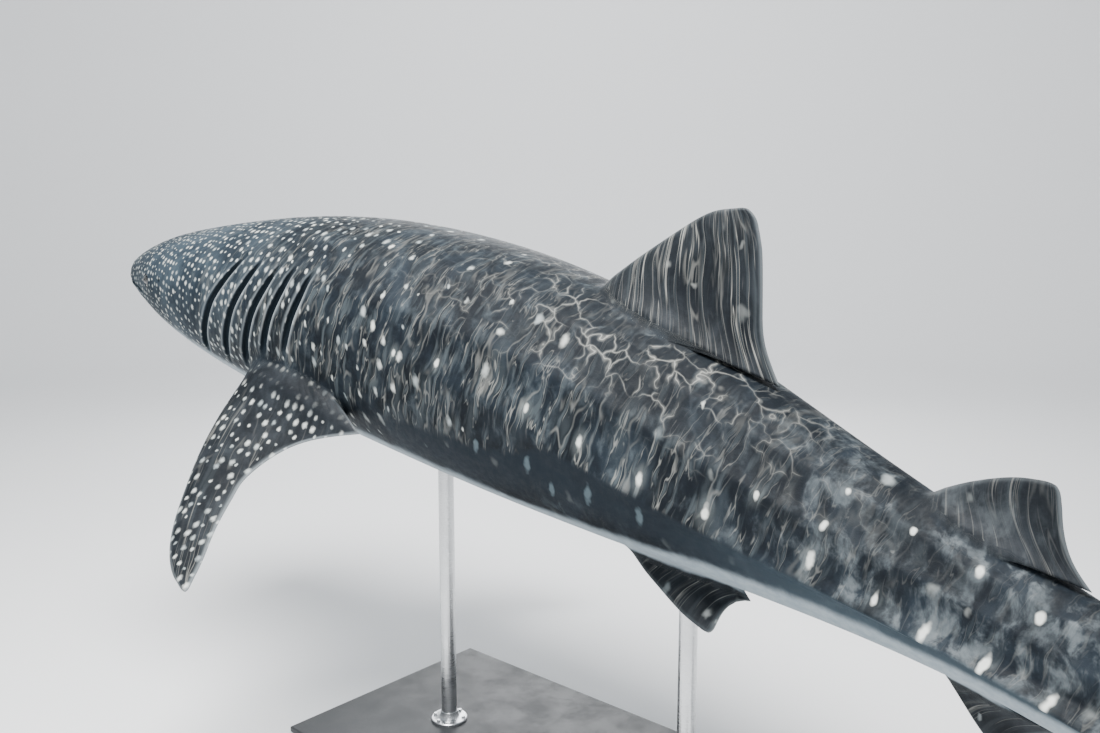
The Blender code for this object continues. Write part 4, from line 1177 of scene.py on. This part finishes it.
        # Spots below the keel take the dulled colour of spots in painted shade
        if angle > BELOW_KEEL:
            dim = t.math("MAXIMUM", dim, one["Mask"])
        else:
            big = t.math("MAXIMUM", big, one["Mask"])
            glow = t.math("MAXIMUM", glow, one["Glow"])
    streaky = t.span(thin["Haze"], 0.0, 0.6, 0.25, 0.75)
    base = t.blend(t.math("MULTIPLY", t.math("MULTIPLY", glow, streaky), streaks_here), base, GLOW)
    base = t.blend(big, base, SPOT)
    # Painted shade on the big spots below the keel
    base = t.blend(t.math("MULTIPLY", dim, 0.7), base, SPOT_IN_PAINTED_SHADE)
    # Pale fin edges, and the painted highlight on the gill rims
    base = t.blend(t.math("MULTIPLY", rim, 0.8), base, PALE_EDGE_AND_PAINTED_HIGHLIGHT)
    # Painted shade in the recesses
    base = t.blend(t.math("MULTIPLY", depth, 0.85), base, RECESS_PAINTED_SHADE)
    t.put(shader.inputs["Base Color"], base)

    grain = t.add("TexNoise", {"Vector": objects, "Scale": 150.0, "Detail": 2.0, "Roughness": 0.6}, noise_dimensions="3D")
    rough = t.math("ADD", t.span(fine.outputs[0], 0.25, 0.75, 0.56, 0.70), t.math("MULTIPLY", depth, 0.3))
    t.put(shader.inputs["Roughness"], rough)
    height = t.math("ADD", t.math("MULTIPLY", grain.outputs[0], 0.0010), t.math("MULTIPLY", fine.outputs[0], 0.0022))
    height = t.math("ADD", height, t.math("MULTIPLY", amount, 0.0006))
    bump = t.add("Bump", {"Height": height, "Distance": 1.0, "Strength": 0.55})
    t.put(shader.inputs["Normal"], bump.outputs[0])
    shader.inputs["Specular IOR Level"].default_value = 0.14
    return material


def eye_material():
    """Dark pupil in a narrow bronze iris, under a wet clear coat."""
    material = bpy.data.materials.new("eye_glass")
    material.use_nodes = True
    t = Tree(material.node_tree)
    shader = material.node_tree.nodes["Principled BSDF"]
    away = t.add("Attribute", attribute_name="from_pupil").outputs["Fac"]
    objects = t.add("TexCoord").outputs["Object"]
    threads = t.add("TexNoise", {"Vector": objects, "Scale": 260.0, "Detail": 3.0}, noise_dimensions="3D")
    iris = t.blend(threads.outputs[0], (0.014, 0.016, 0.016, 1.0), (0.060, 0.062, 0.058, 1.0))
    colour = t.blend(t.span(away, 0.33, 0.37), (0.002, 0.002, 0.003, 1.0), iris)
    colour = t.blend(t.span(away, 0.56, 0.66), colour, (0.010, 0.012, 0.014, 1.0))
    t.put(shader.inputs["Base Color"], colour)
    t.put(shader.inputs["Roughness"], t.span(threads.outputs[0], 0.2, 0.8, 0.06, 0.12))
    shader.inputs["Coat Weight"].default_value = 1.0
    shader.inputs["Coat Roughness"].default_value = 0.02
    return material


def eye(name, side, material):
    """Eyeball with a cornea that stands a little proud."""
    here, outward, _, _ = skin_frame(EYE_STATION, EYE_ANGLE * side)
    centre = here - outward * EYE_RADIUS * EYE_SINK
    bm = bmesh.new()
    from_pupil = bm.verts.layers.float.new("from_pupil")
    bmesh.ops.create_uvsphere(bm, u_segments=48, v_segments=36, radius=EYE_RADIUS)
    for vert in bm.verts:
        away = (vert.co.xy.length / EYE_RADIUS) if vert.co.z > 0 else 1.0
        vert[from_pupil] = away
        vert.co.z += 0.0022 * max(0.0, 1 - (away / 0.55) ** 2)
    turn = Vector((0, 0, 1)).rotation_difference(Vector(outward)).to_matrix()
    bmesh.ops.rotate(bm, verts=bm.verts, matrix=turn)
    bmesh.ops.translate(bm, verts=bm.verts, vec=Vector(centre))
    made = piece(name + "_ball", bm, material)
    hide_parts(name)
    return made


def piece(name, bm, material):
    """A finished mesh as a piece that rides on the model."""
    mesh = bpy.data.meshes.new(name)
    bm.to_mesh(mesh)
    bm.free()
    mesh.materials.append(material)
    mesh.shade_smooth()
    mesh.set_sharp_from_angle(angle=radians(40))
    made = bpy.data.objects.new(name, mesh)
    bpy.context.scene.collection.objects.link(made)
    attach(made, "root")
    return made


# Stand

BASE_TOP = 0.03
ROD_RADIUS = 0.04
FLANGE_RADIUS = 0.095
FLANGE_PROFILE = ((0.0412, 0.0), (FLANGE_RADIUS, 0.0), (FLANGE_RADIUS, 0.010), (0.0905, 0.014),
                  (0.062, 0.014), (0.052, 0.018), (0.047, 0.028), (0.0455, 0.048), (0.0412, 0.050))
BOLT_COUNT = 6
BOLT_CIRCLE = 0.077


def paint_material():
    """Powder coat: near black, with a fine orange-peel surface and a little dust."""
    material = bpy.data.materials.new("stand_base_paint")
    material.use_nodes = True
    t = Tree(material.node_tree)
    shader = material.node_tree.nodes["Principled BSDF"]
    objects = t.add("TexCoord").outputs["Object"]
    peel = t.add("TexNoise", {"Vector": objects, "Scale": 420.0, "Detail": 2.0}, noise_dimensions="3D")
    dust = t.add("TexNoise", {"Vector": objects, "Scale": 5.0, "Detail": 6.0, "Roughness": 0.7}, noise_dimensions="3D")
    share = t.span(dust.outputs[0], 0.45, 0.75, 0.0, 0.35)
    t.put(shader.inputs["Base Color"], t.blend(share, (0.028, 0.030, 0.033, 1.0), (0.060, 0.062, 0.064, 1.0)))
    t.put(shader.inputs["Roughness"], t.span(dust.outputs[0], 0.35, 0.75, 0.42, 0.58))
    bump = t.add("Bump", {"Height": peel.outputs[0], "Distance": 0.0006, "Strength": 0.5})
    t.put(shader.inputs["Normal"], bump.outputs[0])
    return material


def steel_material(name, roughness):
    """Brushed steel, its fine lines running round the rods."""
    material = bpy.data.materials.new(name)
    material.use_nodes = True
    t = Tree(material.node_tree)
    shader = material.node_tree.nodes["Principled BSDF"]
    objects = t.add("TexCoord").outputs["Object"]
    stretched = t.vector("MULTIPLY", objects, (6.0, 6.0, 900.0))
    lines = t.add("TexNoise", {"Vector": stretched, "Scale": 1.0, "Detail": 3.0}, noise_dimensions="3D")
    smears = t.add("TexNoise", {"Vector": objects, "Scale": 9.0, "Detail": 4.0}, noise_dimensions="3D")
    t.put(shader.inputs["Base Color"], t.blend(lines.outputs[0], (0.50, 0.51, 0.52, 1.0), (0.64, 0.65, 0.66, 1.0)))
    rough = t.math("ADD", t.span(lines.outputs[0], 0.3, 0.7, -0.05, 0.05), t.span(smears.outputs[0], 0.3, 0.7, roughness, roughness + 0.10))
    t.put(shader.inputs["Roughness"], rough)
    bump = t.add("Bump", {"Height": lines.outputs[0], "Distance": 0.0002, "Strength": 0.35})
    t.put(shader.inputs["Normal"], bump.outputs[0])
    shader.inputs["Metallic"].default_value = 1.0
    return material


def rubber_material():
    material = bpy.data.materials.new("stand_rubber")
    material.use_nodes = True
    t = Tree(material.node_tree)
    shader = material.node_tree.nodes["Principled BSDF"]
    objects = t.add("TexCoord").outputs["Object"]
    grain = t.add("TexNoise", {"Vector": objects, "Scale": 300.0, "Detail": 3.0}, noise_dimensions="3D")
    t.put(shader.inputs["Base Color"], t.blend(grain.outputs[0], (0.012, 0.012, 0.013, 1.0), (0.030, 0.031, 0.032, 1.0)))
    t.put(shader.inputs["Roughness"], t.span(grain.outputs[0], 0.3, 0.7, 0.62, 0.78))
    bump = t.add("Bump", {"Height": grain.outputs[0], "Distance": 0.0005, "Strength": 0.4})
    t.put(shader.inputs["Normal"], bump.outputs[0])
    return material


def turned(profile, steps=48):
    """Solid of revolution round the Z axis from an outline of radius and height."""
    bm = bmesh.new()
    verts = [bm.verts.new((radius, 0.0, height)) for radius, height in profile]
    edges = [bm.edges.new(pair) for pair in zip(verts, verts[1:] + verts[:1])]
    bmesh.ops.spin(bm, geom=verts + edges, cent=(0, 0, 0), axis=(0, 0, 1), angle=2 * pi, steps=steps, use_merge=True)
    bmesh.ops.remove_doubles(bm, verts=bm.verts, dist=0.00001)
    bmesh.ops.recalc_face_normals(bm, faces=bm.faces)
    return bm


def rod_fittings(name, steel):
    """Foot flange with its bolts round the bottom of one rod."""
    low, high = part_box(name)
    middle = Vector(((low[0] + high[0]) / 2, (low[1] + high[1]) / 2, BASE_TOP + 0.0003))
    bm = turned(FLANGE_PROFILE)
    bmesh.ops.translate(bm, verts=bm.verts, vec=middle)
    flange = piece(name + "_flange", bm, steel)
    bm = bmesh.new()
    for k in range(BOLT_COUNT):
        turn = 2 * pi * (k + 0.5) / BOLT_COUNT
        place = middle + Vector((cos(turn) * BOLT_CIRCLE, sin(turn) * BOLT_CIRCLE, 0.014))
        for sides, radius, depth, foot in ((24, 0.0115, 0.0022, 0.0), (6, 0.0088, 0.0075, 0.0022)):
            made = bmesh.ops.create_cone(bm, cap_ends=True, segments=sides, radius1=radius, radius2=radius * 0.97, depth=depth)
            bmesh.ops.rotate(bm, verts=made["verts"], cent=(0, 0, 0), matrix=Matrix.Rotation(turn * 3, 3, "Z"))
            bmesh.ops.translate(bm, verts=made["verts"], vec=place + Vector((0, 0, foot + depth / 2)))
    bolts = piece(name + "_bolts", bm, steel)
    return flange, bolts


COLLAR_PROFILE = ((0.0408, 0.022), (0.0408, -0.026), (0.047, -0.029), (0.054, -0.027),
                  (0.060, -0.020), (0.064, -0.008), (0.069, 0.000), (0.074, 0.008), (0.074, 0.022))


def belly_collar(name, rubber, belly):
    """Rubber collar round the top of a rod, its upper edge bedded in the belly."""
    low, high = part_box(name)
    middle = Vector(((low[0] + high[0]) / 2, (low[1] + high[1]) / 2, 0.0))
    bm = turned(COLLAR_PROFILE)
    for vert in bm.verts:
        under = Vector((middle.x + vert.co.x, middle.y + vert.co.y, BASE_TOP + 0.2))
        vert.co = Vector((under.x, under.y, belly.ray_cast(under, Vector((0, 0, 1)))[0].z + vert.co.z))
    return piece(name + "_collar", bm, rubber)


# Studio

CAMERA_PLACE = (2.8516, -3.2956, 2.5606)
CAMERA_AZIMUTH = 41.48
CAMERA_DOWN = 7.64
CAMERA_LENS = 31.5
ROOM_RADIUS = 22.0
ROOM_CURVE = 6.0
ROOM_HEIGHT = 16.0


def camera():
    data = bpy.data.cameras.new("camera")
    data.lens = CAMERA_LENS
    data.sensor_width = 36.0
    data.clip_start = 0.05
    data.clip_end = 200.0
    made = bpy.data.objects.new("camera", data)
    made.location = CAMERA_PLACE
    made.rotation_euler = (radians(90 - CAMERA_DOWN), 0.0, radians(CAMERA_AZIMUTH))
    bpy.context.scene.collection.objects.link(made)
    bpy.context.scene.camera = made


def area_light(name, place, aim, size, power, colour):
    data = bpy.data.lights.new(name, "AREA")
    data.shape = "DISK"
    data.size = size
    data.energy = power
    data.color = colour
    made = bpy.data.objects.new(name, data)
    made.location = place
    way = Vector(aim) - Vector(place)
    made.rotation_euler = way.to_track_quat("-Z", "Y").to_euler()
    bpy.context.scene.collection.objects.link(made)


def room():
    """Pale floor that rises in a wide curve to a plain wall all round."""
    arc = [(ROOM_RADIUS - ROOM_CURVE + ROOM_CURVE * sin(a), ROOM_CURVE - ROOM_CURVE * cos(a))
           for a in np.linspace(0, pi / 2, 13)]
    outline = [(0.0, 0.0)] + arc + [(ROOM_RADIUS, ROOM_HEIGHT)]
    bm = bmesh.new()
    verts = [bm.verts.new((radius, 0.0, height)) for radius, height in outline]
    edges = [bm.edges.new(pair) for pair in zip(verts, verts[1:])]
    bmesh.ops.spin(bm, geom=verts + edges, cent=(0, 0, 0), axis=(0, 0, 1), angle=2 * pi, steps=96, use_merge=True)
    bmesh.ops.remove_doubles(bm, verts=bm.verts, dist=0.0001)
    bmesh.ops.recalc_face_normals(bm, faces=bm.faces)
    bmesh.ops.reverse_faces(bm, faces=bm.faces)
    mesh = bpy.data.meshes.new("room")
    bm.to_mesh(mesh)
    bm.free()
    mesh.shade_smooth()
    material = bpy.data.materials.new("pale_room")
    material.use_nodes = True
    shader = material.node_tree.nodes["Principled BSDF"]
    shader.inputs["Base Color"].default_value = (0.88, 0.885, 0.89, 1.0)
    shader.inputs["Roughness"].default_value = 0.9
    mesh.materials.append(material)
    made = bpy.data.objects.new("room", mesh)
    bpy.context.scene.collection.objects.link(made)


def studio():
    world = bpy.data.worlds.new("studio")
    world.use_nodes = True
    background = world.node_tree.nodes["Background"]
    background.inputs["Color"].default_value = (0.88, 0.94, 1.0, 1.0)
    background.inputs["Strength"].default_value = 0.45
    bpy.context.scene.world = world
    area_light("overhead", (0.5, -2.5, 8.5), (0.0, 0.0, 1.5), 4.5, 1900.0, (1.0, 0.995, 0.985))
    area_light("camera_side", (6.0, -8.0, 4.5), (0.0, 0.0, 1.6), 5.0, 260.0, (0.95, 0.97, 1.0))
    area_light("far_side", (-6.0, 7.0, 5.5), (0.0, 0.0, 1.8), 5.0, 460.0, (0.96, 0.98, 1.0))
    area_light("wall", (-6.0, 7.5, 13.0), (-14.6, 16.5, 3.0), 6.0, 1600.0, (0.97, 0.98, 1.0))


camera()
room()
studio()

for make_group in (spots_group, streaks_group, net_group, oval_group):
    make_group()
skin = whale_shark_skin()
skin.data.materials.clear()
skin.data.materials.append(skin_material())
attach(skin, "root")
FLESH = [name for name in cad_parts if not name.startswith(("eye_", "stand_"))]
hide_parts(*FLESH)
glass = eye_material()
for word, side in (("left", 1), ("right", -1)):
    eye("eye_" + word, side, glass)
steel = steel_material("stand_rod_steel", 0.24)
paint = paint_material()
rubber = rubber_material()
belly = BVHTree.FromObject(skin, bpy.context.evaluated_depsgraph_get())
for name in ("stand_rod_front", "stand_rod_rear"):
    rod_fittings(name, steel)
    belly_collar(name, rubber, belly)
    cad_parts[name].material_slots[0].material = steel
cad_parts["stand_base"].material_slots[0].material = paint
